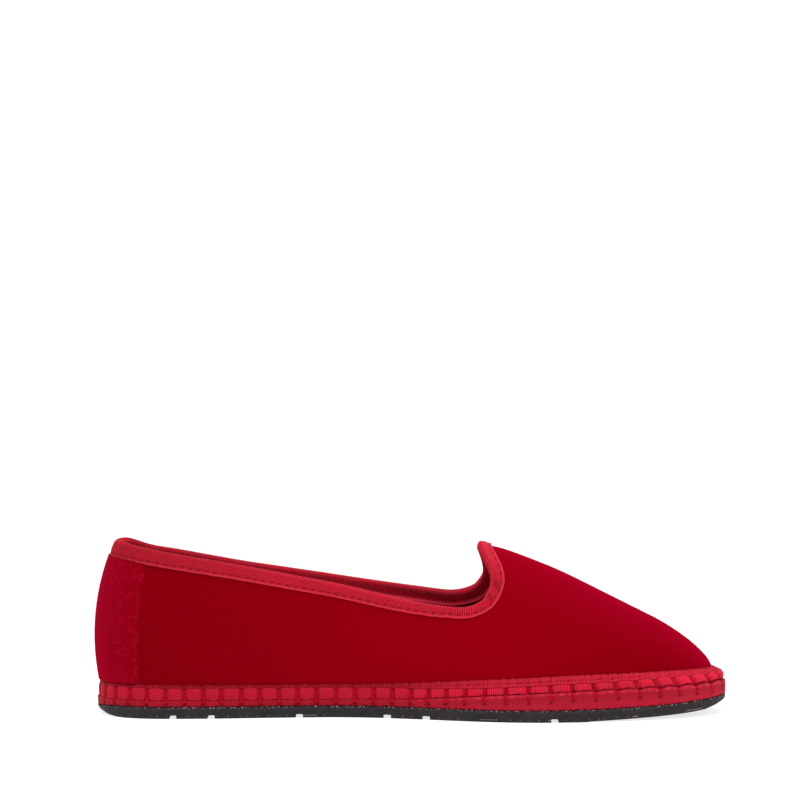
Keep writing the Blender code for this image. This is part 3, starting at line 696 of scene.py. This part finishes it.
def on_collar(distance, down, height):
    """Points down from the collar's line by one length and off the velvet by another."""
    frame_here = collar_frame.at(distance)
    made = np.empty((len(distance), 3))
    for n, row in enumerate(frame_here):
        edge, normal, inward = Vector(row[:3]), Vector(row[3:6]), Vector(row[6:])
        if down[n] <= 0.0002:
            made[n] = edge + inward * down[n] + normal * height[n]
            continue
        half, facing = skin.at(edge + inward * down[n] / 2)
        inward = (inward - facing * inward.dot(facing)).normalized()
        place, facing = skin.at(half + inward * down[n] / 2)
        made[n] = place + facing * height[n]
    return made


columns = COLLAR_RIBS * 5
along = collar.spaced(columns)
ribs = rib_wave(columns, 5)
hem_wave = 0.00007 * wobble(along, collar.length, 0.006, 3) + 0.00005 * wobble(along, collar.length, 0.0021, 4)
reach = from_table(REACH, from_heel(along)) / 1000 + hem_wave
lean = from_table(LEAN, from_heel(along))
stitches = round(collar.length / STITCH_PITCH)
from_stitch = np.abs((along * stitches / collar.length + 0.5) % 1 - 0.5) * collar.length / stitches
print(COLLAR_RIBS, "ribs and", stitches, "stitches round the collar")

# %% [markdown]
# Where the ribbon turns the tight corner of the throat it has to gather. In two places its ribs are drawn together:
# they stand higher there, and painted shade marks the folds that run slantwise down between them.

# %% Collar binding
# Down the outside: share of the way to the hem and more millimetres, height off the velvet, rib, pale edge and
# painted highlight, painted shade
OUTSIDE = (
    (1.0, 1.50, 0.10, 0.0, 0.0, 0.3), (1.0, 1.54, 0.45, 0.3, 0.5, 0.0), (1.0, 1.42, 0.82, 0.6, 0.75, 0.0),
    (1.0, 1.12, 0.90, 0.9, 0.26, 0.0), (1.0, 0.72, 0.86, 0.9, 0.22, 0.0), (1.0, 0.46, 0.78, 0.8, 0.0, 0.10),
    (1.0, 0.25, 0.72, 0.8, 0.0, 0.18), (1.0, 0.02, 0.80, 0.9, 0.0, 0.08),
    *((share, 0.0, height, 1.0, 0.0, 0.0) for share, height in (
        (0.92, 0.94), (0.83, 0.99), (0.73, 1.03), (0.62, 1.05), (0.51, 1.06), (0.40, 1.05), (0.29, 1.04), (0.19, 1.02),
        (0.09, 0.98))),
)
# Over the edge and down the inside: millimetres down and off the velvet, rib, pale edge and painted highlight
OVER = (
    (0.20, 0.92, 1.0, 0.10), (-0.35, 0.68, 1.0, 0.15), (-0.75, 0.10, 1.0, 0.15), (-0.92, -1.00, 1.0, 0.10),
    (-0.75, -2.10, 1.0, 0.0), (-0.35, -2.68, 1.0, 0.0), (0.30, -2.90, 1.0, 0.0), (1.60, -2.90, 1.0, 0.0),
    (3.00, -2.90, 1.0, 0.0), (3.80, -2.90, 1.0, 0.4), (4.15, -3.15, 0.8, 1.0), (4.55, -3.60, 0.5, 1.0),
    (4.90, -3.65, 0.3, 1.0), (5.00, -2.40, 0.0, 0.5), (0.30, -2.25, 0.0, 0.0), (-0.30, -1.00, 0.0, 0.0),
    (0.30, 0.20, 0.0, 0.0),
)
steep = (fine < peak_at) & (at_edge[:, 0] > 0.028) & (at_edge[:, 2] > 0.044)
# Height over the floor and half width of the places where the ribs are gathered
GATHERS = ((0.0530, 0.0017), (0.0484, 0.0011))


def gathered(distance):
    """How tightly the ribs are drawn together in the throat's corner, from 0 to 1, on both sides of the shoe."""
    mirrored = np.where(distance < peak_at, distance, collar.length - distance)
    places = [np.interp(level, at_edge[steep, 2], fine[steep]) for level, _ in GATHERS]
    return sum(bump_at(mirrored - place, width) for place, (_, width) in zip(places, GATHERS))


# Painted shade round the heel.
at_heel = 0.34 * (1 - steps(0.08, 0.45, from_heel(along)))
bunched = gathered(along)
near_peak = 1 - 0.6 * steps(0.88, 0.93, from_heel(along))
rows = []
for share, more, off, rib, worn, hollow in OUTSIDE:
    down = share * (reach - HEM) + more / 1000
    off_line = down - (reach - STITCHES_ABOVE)
    # Painted shade in each stitch's dent and in the gathered folds, added to that round the heel.
    dent = bump_at(from_stitch, 0.00075) * bump_at(off_line, 0.00035) * (1 - 0.6 * bunched)
    pulled = bunched * (1 - steps(0.55, 0.85, down / reach))
    height = off / 1000 + RIB_HEIGHT * rib * ribs * (1 + 1.3 * pulled) - 0.00025 * dent
    folds = pulled * (0.9 * (ribs < -0.5) + 0.12)
    hollow = limited(hollow + at_heel + 0.55 * dent + folds)
    # The woven edge is paler, most on its ribs, partly by painted highlight; a painted highlight also lifts the peak.
    beads = np.clip(worn * (1 + 0.6 * ribs), 0, 1)
    worn = beads + 0.42 * (1 - beads) * bump_at(along - peak_at, 0.014)
    rows.append((on_collar(along - lean * down, down, height), marks(hollow, worn, near_peak)))
for below, off, rib, worn in OVER:
    outward = Vector((below - 1.2, off + 1.0)).normalized() if below < 0.3 else Vector((0, -1))
    down = below / 1000 + RIB_HEIGHT * rib * ribs * outward.x
    height = off / 1000 + RIB_HEIGHT * rib * ribs * outward.y
    rows.append((on_collar(along, down, height), marks(at_heel, worn, 1.0)))
ribbon_red = ribbon_look("collar_ribbon_cloth", (0.60, 0.014, 0.037), (0.28, 0.0014, 0.010), COLLAR_RIBS)
collar_binding = strip("collar_binding", rows, ribbon_red)
stand_for(collar_binding, "collar_ribbon")

# %% Collar stitches
first = collar.length / stitches * np.arange(stitches)
paths = []
for part, sink in ((-1.0, -0.30), (-0.5, -0.02), (0.5, -0.02), (1.0, -0.30)):
    distance = first + part * 0.00085
    share = from_heel(distance)
    down = from_table(REACH, share) / 1000 - STITCHES_ABOVE
    paths.append(on_collar(distance - from_table(LEAN, share) * down, down, np.full(stitches, 0.00066 + sink / 1000)))
threads("collar_stitches", np.stack(paths, axis=1), 0.00018, dark_thread)

# %% [markdown]
# ## Reading the sole
# The edge ribbon, the band and the rubber all follow the sole's outline. A ray up or down through the middle of the
# foot gives the height of each layer at any length, and the velvet's lower rim gives how far in the upper stands.

# %% The sole's outline and heights
edge_line = ClosedLine(outline, outline)
rear, tip = outline[outline[:, 0].argmin()], outline[outline[:, 0].argmax()]
stations = np.linspace(rear[0] + 0.0004, tip[0] - 0.0004, 200)
foot_line = ClosedLine(foot_rim, foot_rim)
foot_points = foot_line.at(np.linspace(0, foot_line.length, 4000, endpoint=False))
layers = {name: merged_copy(name) for name in ("outsole", "sole_band")}
trees = {name: BVHTree.FromBMesh(layer) for name, layer in layers.items()}
groove_walls = sorted({round(face.calc_center_median().x, 4) for face in layers["outsole"].faces
                       if abs(face.normal.x) > 0.99 and face.calc_center_median().z < 0.0015})
for layer in layers.values():
    layer.free()
middle = np.interp(stations, [rear[0], tip[0]], [rear[1], tip[1]])


def heights_through(name, start, way):
    """Where rays from one height, up or down over the foot's middle, meet a layer, from the heel to the toe."""
    hits = [trees[name].ray_cast(Vector((x, y, start)), Vector((0, 0, way)))[0] for x, y in zip(stations, middle)]
    return np.array([hit.z for hit in hits])


tread = heights_through("outsole", -0.01, 1)
tread[(stations > -0.105) & (stations < 0.070)] = 0.0
rubber_top, seam = (heights_through(name, 0.05, -1) for name in ("outsole", "sole_band"))
by_x = foot_points[foot_points[:, 0].argsort()]


def read_by_x(lengths, heights):
    """A function that reads a height at any place along the shoe."""
    return lambda x: np.interp(x, lengths, heights)


tread_z, rubber_z, seam_z = (read_by_x(stations, heights) for heights in (tread, rubber_top, seam))
welt_z = read_by_x(by_x[:, 0], by_x[:, 2] - 0.0003)


def edge_wave(distance, pitch, seed):
    """An uneven wave round the sole."""
    return wobble(distance, edge_line.length, pitch, seed)


def around(distance):
    """Points of the outline, and the directions from them to the inside of the foot."""
    here = edge_line.at(distance)
    ahead = edge_line.at(distance + 0.0004) - edge_line.at(distance - 0.0004)
    ahead /= np.linalg.norm(ahead, axis=1)[:, None]
    return here, np.stack([-ahead[:, 1], ahead[:, 0]], axis=1)


def row_at(distance, inset, height, lift=0.0):
    """A row of points inset from the outline, at a height that is a function of x, plus a lift."""
    here, inwards = around(distance)
    flat = here + inwards * np.broadcast_to(inset, len(distance))[:, None]
    return np.column_stack([flat, height(flat[:, 0]) + lift])


print("sole is", round(edge_line.length * 1000), "mm round; its seam is", round(seam.min() * 1000, 1), "to",
      round(seam.max() * 1000, 1), "mm up;", len(groove_walls) // 2, "grooves")

# %% [markdown]
# ## Stitches round the sole
# The whip stitches are about 7.5 mm apart along the quarters and 8.7 mm round the forefoot. Counting them along the
# outline gives their places, each a little off, as hand work is. From the nearest stitch comes how far the ribbon is
# pulled in, and from the share of the way between two of them how far it arches up.

# %% Where the stitches come
spots = np.linspace(0, edge_line.length, 6000)
spot_x = edge_line.at(spots)[:, 0]
turning = spots[spot_x.argmax()]
pitch = 0.00745 + 0.00125 * steps(0.015, 0.035, spot_x)
count = np.concatenate([[0], np.cumsum(np.diff(spots) / pitch[1:])])
at_toe = np.interp(turning, spots, count)
STITCHES = round(count[-1])
to_heel = (STITCHES - at_toe) / (count[-1] - at_toe)
count = np.where(spots < turning, count, at_toe + (count - at_toe) * to_heel)
first_stitch = np.interp(np.interp(-0.0957, spot_x[:1500], spots[:1500]), spots, count)
numbers = np.arange(STITCHES) + first_stitch % 1
stitch_places = np.interp(numbers, count, spots) + np.random.default_rng(11).normal(0, 0.00015, STITCHES)
ringed = np.concatenate([stitch_places[-1:] - edge_line.length, stitch_places, stitch_places[:1] + edge_line.length])


def between_stitches(distance):
    """How far the nearest stitch is, and the share of the way from one stitch to the next."""
    distance = np.mod(distance, edge_line.length)
    after = np.clip(np.searchsorted(ringed, distance), 1, len(ringed) - 1)
    gone, left = distance - ringed[after - 1], ringed[after] - distance
    return np.minimum(gone, left), np.clip(gone / (gone + left), 0, 1)


print(STITCHES, "whip stitches")


# %% What changes from the heel to the toe
def forefoot(x):
    """0 on the quarters, where the ribbon's woven edge is tucked in, and 1 in the forefoot."""
    return steps(-0.027, 0.035, x)


def toeward(x):
    """0 up to the ball of the foot and 1 at the toe: how much the squares puff and arch and the stitches slant."""
    return steps(0.045, 0.105, x)


def heelward(x):
    """1 round the very back of the heel and 0 elsewhere."""
    return 1 - steps(-0.124, -0.108, x)


def arch_at(x):
    """How high the seam and the ribbon arch between two stitches."""
    return 0.00015 + 0.00090 * toeward(x)


def slant_at(x):
    """How far a stitch leans along the shoe for its height."""
    return 0.60 * toeward(x)


def hole_drop_at(x):
    """How far under the seam a stitch goes into the band."""
    return 0.0009 + 0.0016 * steps(-0.01, 0.05, x) - 0.0006 * toeward(x)


# %% [markdown]
# ## The edge ribbon
# This is the part that gives the slipper its rope-soled look: a ribbon rolled over the joint and pulled in by the
# whip stitches, so that it stands in small padded squares. Towards the toe the pull makes each square arch. On the
# quarters the ribbon's woven edge is tucked in above the squares, painted dark, a painted shade; in the forefoot it
# stands above them as a crinkled strip, tacked down about every 4 mm. Painted shade also lies between the squares,
# along the seams, round the very back of the heel and in the tacks.

# %% The edge ribbon's shape
EDGE_RIBS = 640
EDGE_RIB_HEIGHT = 0.00019
GRIP = 0.0005
RIB_LEAN = 0.50
TACK_PITCH = 0.0041
# The squares' profile, as shares of the way up and of the way in to the upper, and the strip's above them
SQUARE = ((0.0, 0.10), (0.06, 0.04), (0.2, 0.0), (0.35, 0.0), (0.6, 0.0), (0.8, 0.04), (0.92, 0.11), (1.0, 0.24))
STRIP = ((0.0, 0.26), (0.15, 0.22), (0.5, 0.34), (0.85, 0.60), (1.0, 0.80))

columns = EDGE_RIBS * 4
along = edge_line.spaced(columns)
ribs = rib_wave(columns, 4)
here, _ = around(along)
foot_gap = np.array([np.linalg.norm(foot_points[:, :2] - point, axis=1).min() for point in here])
here_x = here[:, 0]
forward, at_front, at_back = forefoot(here_x), toeward(here_x), heelward(here_x)
pinch_share = 0.79 - 0.34 * forward + 0.17 * steps(0.070, 0.120, here_x)
set_back = GRIP + 0.0008 * (foot_gap / 0.0052) ** 2
smooth_ends = (1 - 0.65 * steps(0.080, 0.115, here_x)) * (1 - at_back)
tall = welt_z(here_x) - seam_z(here_x) - 0.0002


def square_row(share, near, hump):
    """What the padded squares add to a row: inset, lift and marks."""
    apart = steps(0.0005, 0.0019, near)
    puffed = apart * (1 - (2 * share - 1) ** 4)
    inset = 0.00095 * (1 - apart) * (1 - 0.3 * share) - (0.00030 + 0.00055 * at_front) * puffed * hump
    inset = inset - (1 - forward) * 0.0003 * bump_at(share, 0.05)
    lift = arch_at(here_x) * hump * (1 if share < 0.5 else 1 + 0.5 * (1 - forward))
    lift = lift + 0.00013 * edge_wave(along, 0.0045, 24) * (share < 0.08)
    # Painted shade along the seams, between the squares, on the quarters and round the very back of the heel; paler
    # along the squares' lower edge on the quarters.
    seam_shade = 0.05 + 0.55 * forward if share == 0.0 else 0.62 + 0.20 * forward if share == 1.0 else 0.0
    hollow = 0.40 * (1 - steps(0.0006, 0.0016, near)) + 0.17 * (1 - forward) + 0.42 * at_back
    worn = 0.25 * (1 - forward) * (share == 0.04) * apart
    ribbed = (0.35 + 0.65 * apart) * smooth_ends * (1 - 0.30 * forward)
    return inset, lift, np.maximum(hollow, seam_shade), worn, ribbed


def strip_row(share, _, hump):
    """What the woven edge above the squares adds to a row: its loops, its grain and its tacks."""
    middle = bump_at(share - 0.5, 0.15)
    loops = 0.6 * edge_wave(along, 0.0034, 21) + 0.8 * edge_wave(along, 0.0014, 22)
    grain = edge_wave(along, 0.0009, 50 + round(10 * share))
    uneven = (along + 0.0006 * edge_wave(along, 0.011, 23)) / TACK_PITCH
    tack = bump_at(np.abs((uneven + 0.5) % 1 - 0.5) * TACK_PITCH, 0.00040) * bump_at(share - 0.5, 0.12)
    tack = tack * (0.55 + 0.45 * edge_wave(along, 0.017, 25))
    inset = forward * (0.00040 * middle + 0.0005 * tack + 0.00006 * grain - 0.00010 * loops * share)
    lift = arch_at(here_x) * hump * (1 - share) + forward * steps(0.4, 1.0, share) * 0.00022 * loops
    lift = lift + (1 - forward) * share * (0.00050 * (hump - 0.6) + 0.00015 * loops)
    # Painted shade where the edge is tucked in on the quarters, in the tacks and along its middle; its loops are paler
    # in the forefoot.
    tucked = 0.65 * bump_at(share, 0.13) + (1 - forward) * (0.92 - 0.22 * loops)
    shaded = 0.6 * tack + 0.30 * steps(0.6, 1.0, share) + (0.36 - 0.10 * loops) * middle + 0.16 * (1 - at_front)
    hollow = limited(tucked + forward * (shaded + 0.28 * (0.4 + grain)))
    worn = limited(0.10 + 0.26 * loops) * forward * (1 - middle)
    return inset, lift, hollow, worn, 0.25


def edge_row(make, share, ribs_shown=1.0):
    """One row of the edge ribbon: its points, and its marks.

    Made by square_row up to the pinch line and by strip_row above it; the share is the way up in that part.
    """
    squares = make is square_row
    up_by = (pinch_share * share if squares else pinch_share + (1 - pinch_share) * share) * tall
    shifted = along + RIB_LEAN * (1 - forward) * (up_by - 0.002)
    near, way = between_stitches(shifted + slant_at(here_x) * (up_by - 0.0015))
    more, lift, hollow, worn, ribbed = make(share, near, np.sin(math.pi * way))
    inset = set_back + (foot_gap - set_back) * from_table(SQUARE if squares else STRIP, share) + more
    inset = inset - ribs_shown * EDGE_RIB_HEIGHT * ribs * ribbed
    points = row_at(shifted, inset, lambda x: seam_z(x) + 0.0002, up_by + lift)
    return points, marks(hollow, worn, ribbed)


print("ribbon's height:", round(tall.min() * 1000, 1), "to", round(tall.max() * 1000, 1), "mm")

# %% Edge ribbon
rows = [edge_row(square_row, share) for share in (0.0, 0.04, 0.1, 0.2, 0.33, 0.5, 0.67, 0.8, 0.9, 0.97, 1.0)]
rows += [edge_row(strip_row, share) for share in (0.12, 0.3, 0.5, 0.7, 0.88, 1.0)]
# Four more rows close the ribbon behind: into the velvet, down inside the shoe and back under the squares; they are
# painted dark, a painted shade
crinkled = 0.00025 * edge_wave(along, 0.0045, 21) * (0.35 + 0.65 * forward)
for inset, height, lift in ((foot_gap + 0.0006, welt_z, 0.0007 + crinkled), (foot_gap + 0.0024, welt_z, -0.0003),
                            (foot_gap + 0.0024, seam_z, 0.0003), (0.0028, seam_z, 0.0002)):
    rows.append((row_at(along, inset, height, lift), marks(0.8, 0.0, 0.8)))
edge_red = ribbon_look("edge_ribbon_cloth", (0.73, 0.016, 0.048), (0.28, 0.0010, 0.011), EDGE_RIBS)
edge_binding = strip("edge_binding", rows, edge_red)
stand_for(edge_binding, "welt_ribbon")

# %% [markdown]
# ## Whip stitches
# One thick, soft thread wraps the edge. Each stitch comes out under the ribbon's upper fold, lies in the gap between
# two squares, crosses the seam and goes into the band: close under the seam on the quarters, further down in front.

# %% Whip stitches
THREAD_RADIUS = 0.00085
levels = (1.0, 0.9, 0.67, 0.33, 0.1, 0.0)
faces = [edge_row(square_row, share, 0.0)[0] for share in levels]
slant, hole_drop = slant_at(here_x), hole_drop_at(here_x)
paths, asides = [], []
for place in stitch_places:
    n = int(round(place / edge_line.length * columns)) % columns
    _, inwards = around(np.array([place]))
    outward = Vector((-inwards[0, 0], -inwards[0, 1], 0))
    asides.append(Vector((-outward.y, outward.x, 0)))
    path = []
    for share, points in zip(levels, faces):
        lean_back = slant[n] * (pinch_share[n] * share * tall[n] - 0.0015)
        window = np.arange(n - 24, n + 25) % columns
        target = around(np.array([place - lean_back]))[0][0]
        closest = window[np.argmin(np.hypot(*(points[window, :2] - target).T))]
        path.append(Vector(points[closest]) + outward * (-0.0007 if share == 1.0 else 0.0))
    for part, out in ((0.45, -0.00020), (0.95, -0.00030), (1.1, -0.0014)):
        drop = part * hole_drop[n]
        spot = row_at(np.array([place + slant[n] * (0.0015 + 0.15 * drop)]), 0.0, seam_z)[0]
        path.append(Vector(spot) + outward * out - Vector((0, 0, drop)))
    paths.append(path)
threads("whip_stitches", paths, THREAD_RADIUS, thread, 12, 15, 0.65, asides)

# %% [markdown]
# ## The band and the rubber
# Under the seam, a ribbed ribbon covers the edge of the board, its ribs upright. The stitches end in it, each in a
# small hole with painted shade, and its lower edge is fluffy where it was cut. Its top row in the forefoot carries a
# painted highlight, and painted shade lies under the seam, along its lower edge and on the quarters. Below it lies a
# thin sheet of black rubber with six grooves sawn across. Both are plates: rows of points round the outline, closed
# across.

# %% A plate helper
def plate(name, wall_rows, low, high, look, columns, mark):
    """A closed plate between two heights; mark gives inset, lift and marks for a share of the way up its wall."""
    along = edge_line.spaced(columns)
    x = edge_line.at(along)[:, 0]
    wall = []
    for share in wall_rows:
        inset, lift, shades = mark(along, share)
        wall.append((row_at(along, inset, low, lift + share * (high(x) - low(x))), shades))
    below, above = ((row_at(along, 0.008, height), dict.fromkeys(shades, 0.0)) for height in (low, high))
    return strip(name, [below, *wall, above], look, across_closed=False)


def band_low(x):
    return rubber_z(x) + 0.0001


# %% Band
BAND_RIBS = 860


def band_row(along, share):
    """The band's edge: rounded at both ends, ribbed, with a hole for each stitch and a fluffy lower edge."""
    x = edge_line.at(along)[:, 0]
    size = seam_z(x) - band_low(x)
    ahead, slant, drop = forefoot(x), slant_at(x), hole_drop_at(x)
    low, under = share * size, (1 - share) * size
    near, _ = between_stitches(along - slant * (0.0015 + 0.15 * under))
    _, way = between_stitches(along - slant * 0.0015)
    end = np.minimum(under, low)
    corner = np.where(share > 0.5, 0.00025 + 0.00025 * ahead, 0.0008)
    inset = corner * (1 - np.sqrt(np.clip(1 - (1 - end / corner) ** 2, 0, 1))) * (end < corner)
    hole = bump_at(near, 0.00090) * bump_at(under - drop - 0.0006 - 0.0004 * ahead, 0.00055)
    pulled = bump_at(near, 0.0013) * (under < drop)
    ribs = rib_wave(len(along), 4) * (end > 0.0002)
    ribbed = (1 - 0.6 * steps(0.080, 0.115, x)) * (1 - heelward(x))
    inset = inset + 0.0006 * hole + 0.0002 * pulled - 0.0001 * ribs * ribbed
    frayed = edge_wave(along, 0.0015, 31) + edge_wave(along, 0.0037, 32)
    arch = arch_at(x) * np.sin(math.pi * way)
    lift = np.where(share > 0.5, arch * (2 * share - 1), -0.00012 * frayed * (1 - share) ** 3)
    # A painted highlight along the band's top in the forefoot.
    ridge = ahead * bump_at(under - 0.0006, 0.0004) * (0.35 + 0.35 * edge_wave(along, 0.004, 33))
    fluff = bump_at(low, 0.0005) * (0.7 * frayed - 0.1)
    # Painted shade: on the quarters, under the seam, along the lower edge, in the holes and round the very back of the
    # heel.
    shade = 0.34 * (1 - ahead) + 0.25 * ahead * bump_at(under - 0.0019, 0.0013) + 0.50 * bump_at(low, 0.0006)
    seam_line = (0.05 + 0.30 * ahead) * bump_at(under, 0.0003)
    hollow = limited(hole + 0.25 * pulled + seam_line + shade + 0.15 * heelward(x))
    return inset, lift, marks(hollow, np.clip(ridge + fluff, 0, 0.8), ribbed)


band_red = ribbon_look("band_ribbon_cloth", (0.47, 0.012, 0.034), (0.33, 0.004, 0.018), BAND_RIBS)
BAND_ROWS = (0.0, 0.04, 0.1, 0.2, 0.32, 0.44, 0.54, 0.64, 0.72, 0.80, 0.87, 0.93, 0.97, 1.0)
band_ribbon = plate("band_ribbon", BAND_ROWS, band_low, seam_z, band_red, BAND_RIBS * 4, band_row)
stand_for(band_ribbon, "sole_band")

# %% [markdown]
# The grooves are sawn in the real rubber, and cut here too: a row of narrow boxes with rounded tops is taken away
# from the sheet. Their places are those of the groove walls in the CAD solid.

# %% Rubber
GROOVE_DEPTH = 0.0014
SAW_REACH = 0.0040
RUBBER_COLUMNS = 1500
RUBBER_ROWS = (0.0, 0.05, 0.13, 0.185, 0.22, 0.255, 0.32, 0.5, 0.75, 0.90, 0.955, 1.0)
draw = np.random.default_rng(52)
flecks = np.zeros(RUBBER_COLUMNS)
for start in range(5, RUBBER_COLUMNS - 30, 10):
    start += int(draw.integers(0, 6))
    flecks[start] = draw.uniform(0.1, 0.9)
    if draw.random() < 0.07:
        flecks[start:start + int(draw.integers(6, 24))] = draw.uniform(0.3, 0.8)


def rubber_row(along, share):
    """The sheet's edge: softly rounded below, with flecks near the floor and crumbs along the glue line."""
    x = edge_line.at(along)[:, 0]
    size = rubber_z(x) - tread_z(x)
    under = share * size
    inset = 0.0006 * np.clip(1 - under / 0.0006, 0, 1) ** 2 + 0.0003 * (share > 0.99)
    inset = inset + 0.00006 * edge_wave(along, 0.004, 41)
    worn = flecks * (share == 0.22)
    return inset, 0.0, {"worn": worn, "fuzzy": 0.9 * bump_at(share - 1.0, 0.07)}


outsole_rubber = plate("outsole_rubber", RUBBER_ROWS, tread_z, rubber_z, rubber, RUBBER_COLUMNS, rubber_row)
bm = bmesh.new()
for start, end in zip(groove_walls[::2], groove_walls[1::2]):
    box = bmesh.ops.create_cube(bm, size=1.0)["verts"]
    bmesh.ops.scale(bm, vec=(end - start, 0.2, GROOVE_DEPTH + SAW_REACH), verts=box)
    bmesh.ops.translate(bm, vec=((start + end) / 2, 0, (GROOVE_DEPTH - SAW_REACH) / 2), verts=box)
    edges = [edge for edge in bm.edges if set(edge.verts) <= set(box)]
    top = [edge for edge in edges if min(vert.co.z for vert in edge.verts) > 0 and
           abs(edge.verts[0].co.y - edge.verts[1].co.y) > 0.1]
    bmesh.ops.bevel(bm, geom=top, offset=0.0004, affect="EDGES", segments=3, profile=0.5, material=-1)
saw = object_from(bm, "saw")
cut = outsole_rubber.modifiers.new("grooves", "BOOLEAN")
cut.object = saw
cut.operation = "DIFFERENCE"
cut.solver = "EXACT"
bm = evaluated(outsole_rubber)
outsole_rubber.modifiers.clear()
bm.to_mesh(outsole_rubber.data)
bm.free()
bpy.data.objects.remove(saw)
print("outsole rubber:", len(outsole_rubber.data.polygons), "faces with its grooves")
stand_for(outsole_rubber, "outsole")

# %% [markdown]
# ## The insole
# The foot stands on a thin padded sock in the lining's cloth. The CAD plate has its plan; smoothing rounds its edges,
# and its upper face is dented a little where the heel and the ball of the foot press it.

# %% Insole
DENT_DEPTH = 0.0007
# Where the heel and the ball press it, and how wide
DENTS = ((-0.085, 0.0, 0.026), (0.045, -0.004, 0.032))
pad = merged_copy("insole")
join_quads(pad)
pad = smoothed(pad, 2)
pad.normal_update()
for vert in pad.verts:
    if vert.normal.z > 0.8:
        for x, y, width in DENTS:
            vert.co.z -= DENT_DEPTH * bump_at(math.hypot(vert.co.x - x, vert.co.y - y), width)
insole_pad = object_from(pad, "insole_pad", lining)
stand_for(insole_pad, "insole")

# %% The end
print("slipper built")
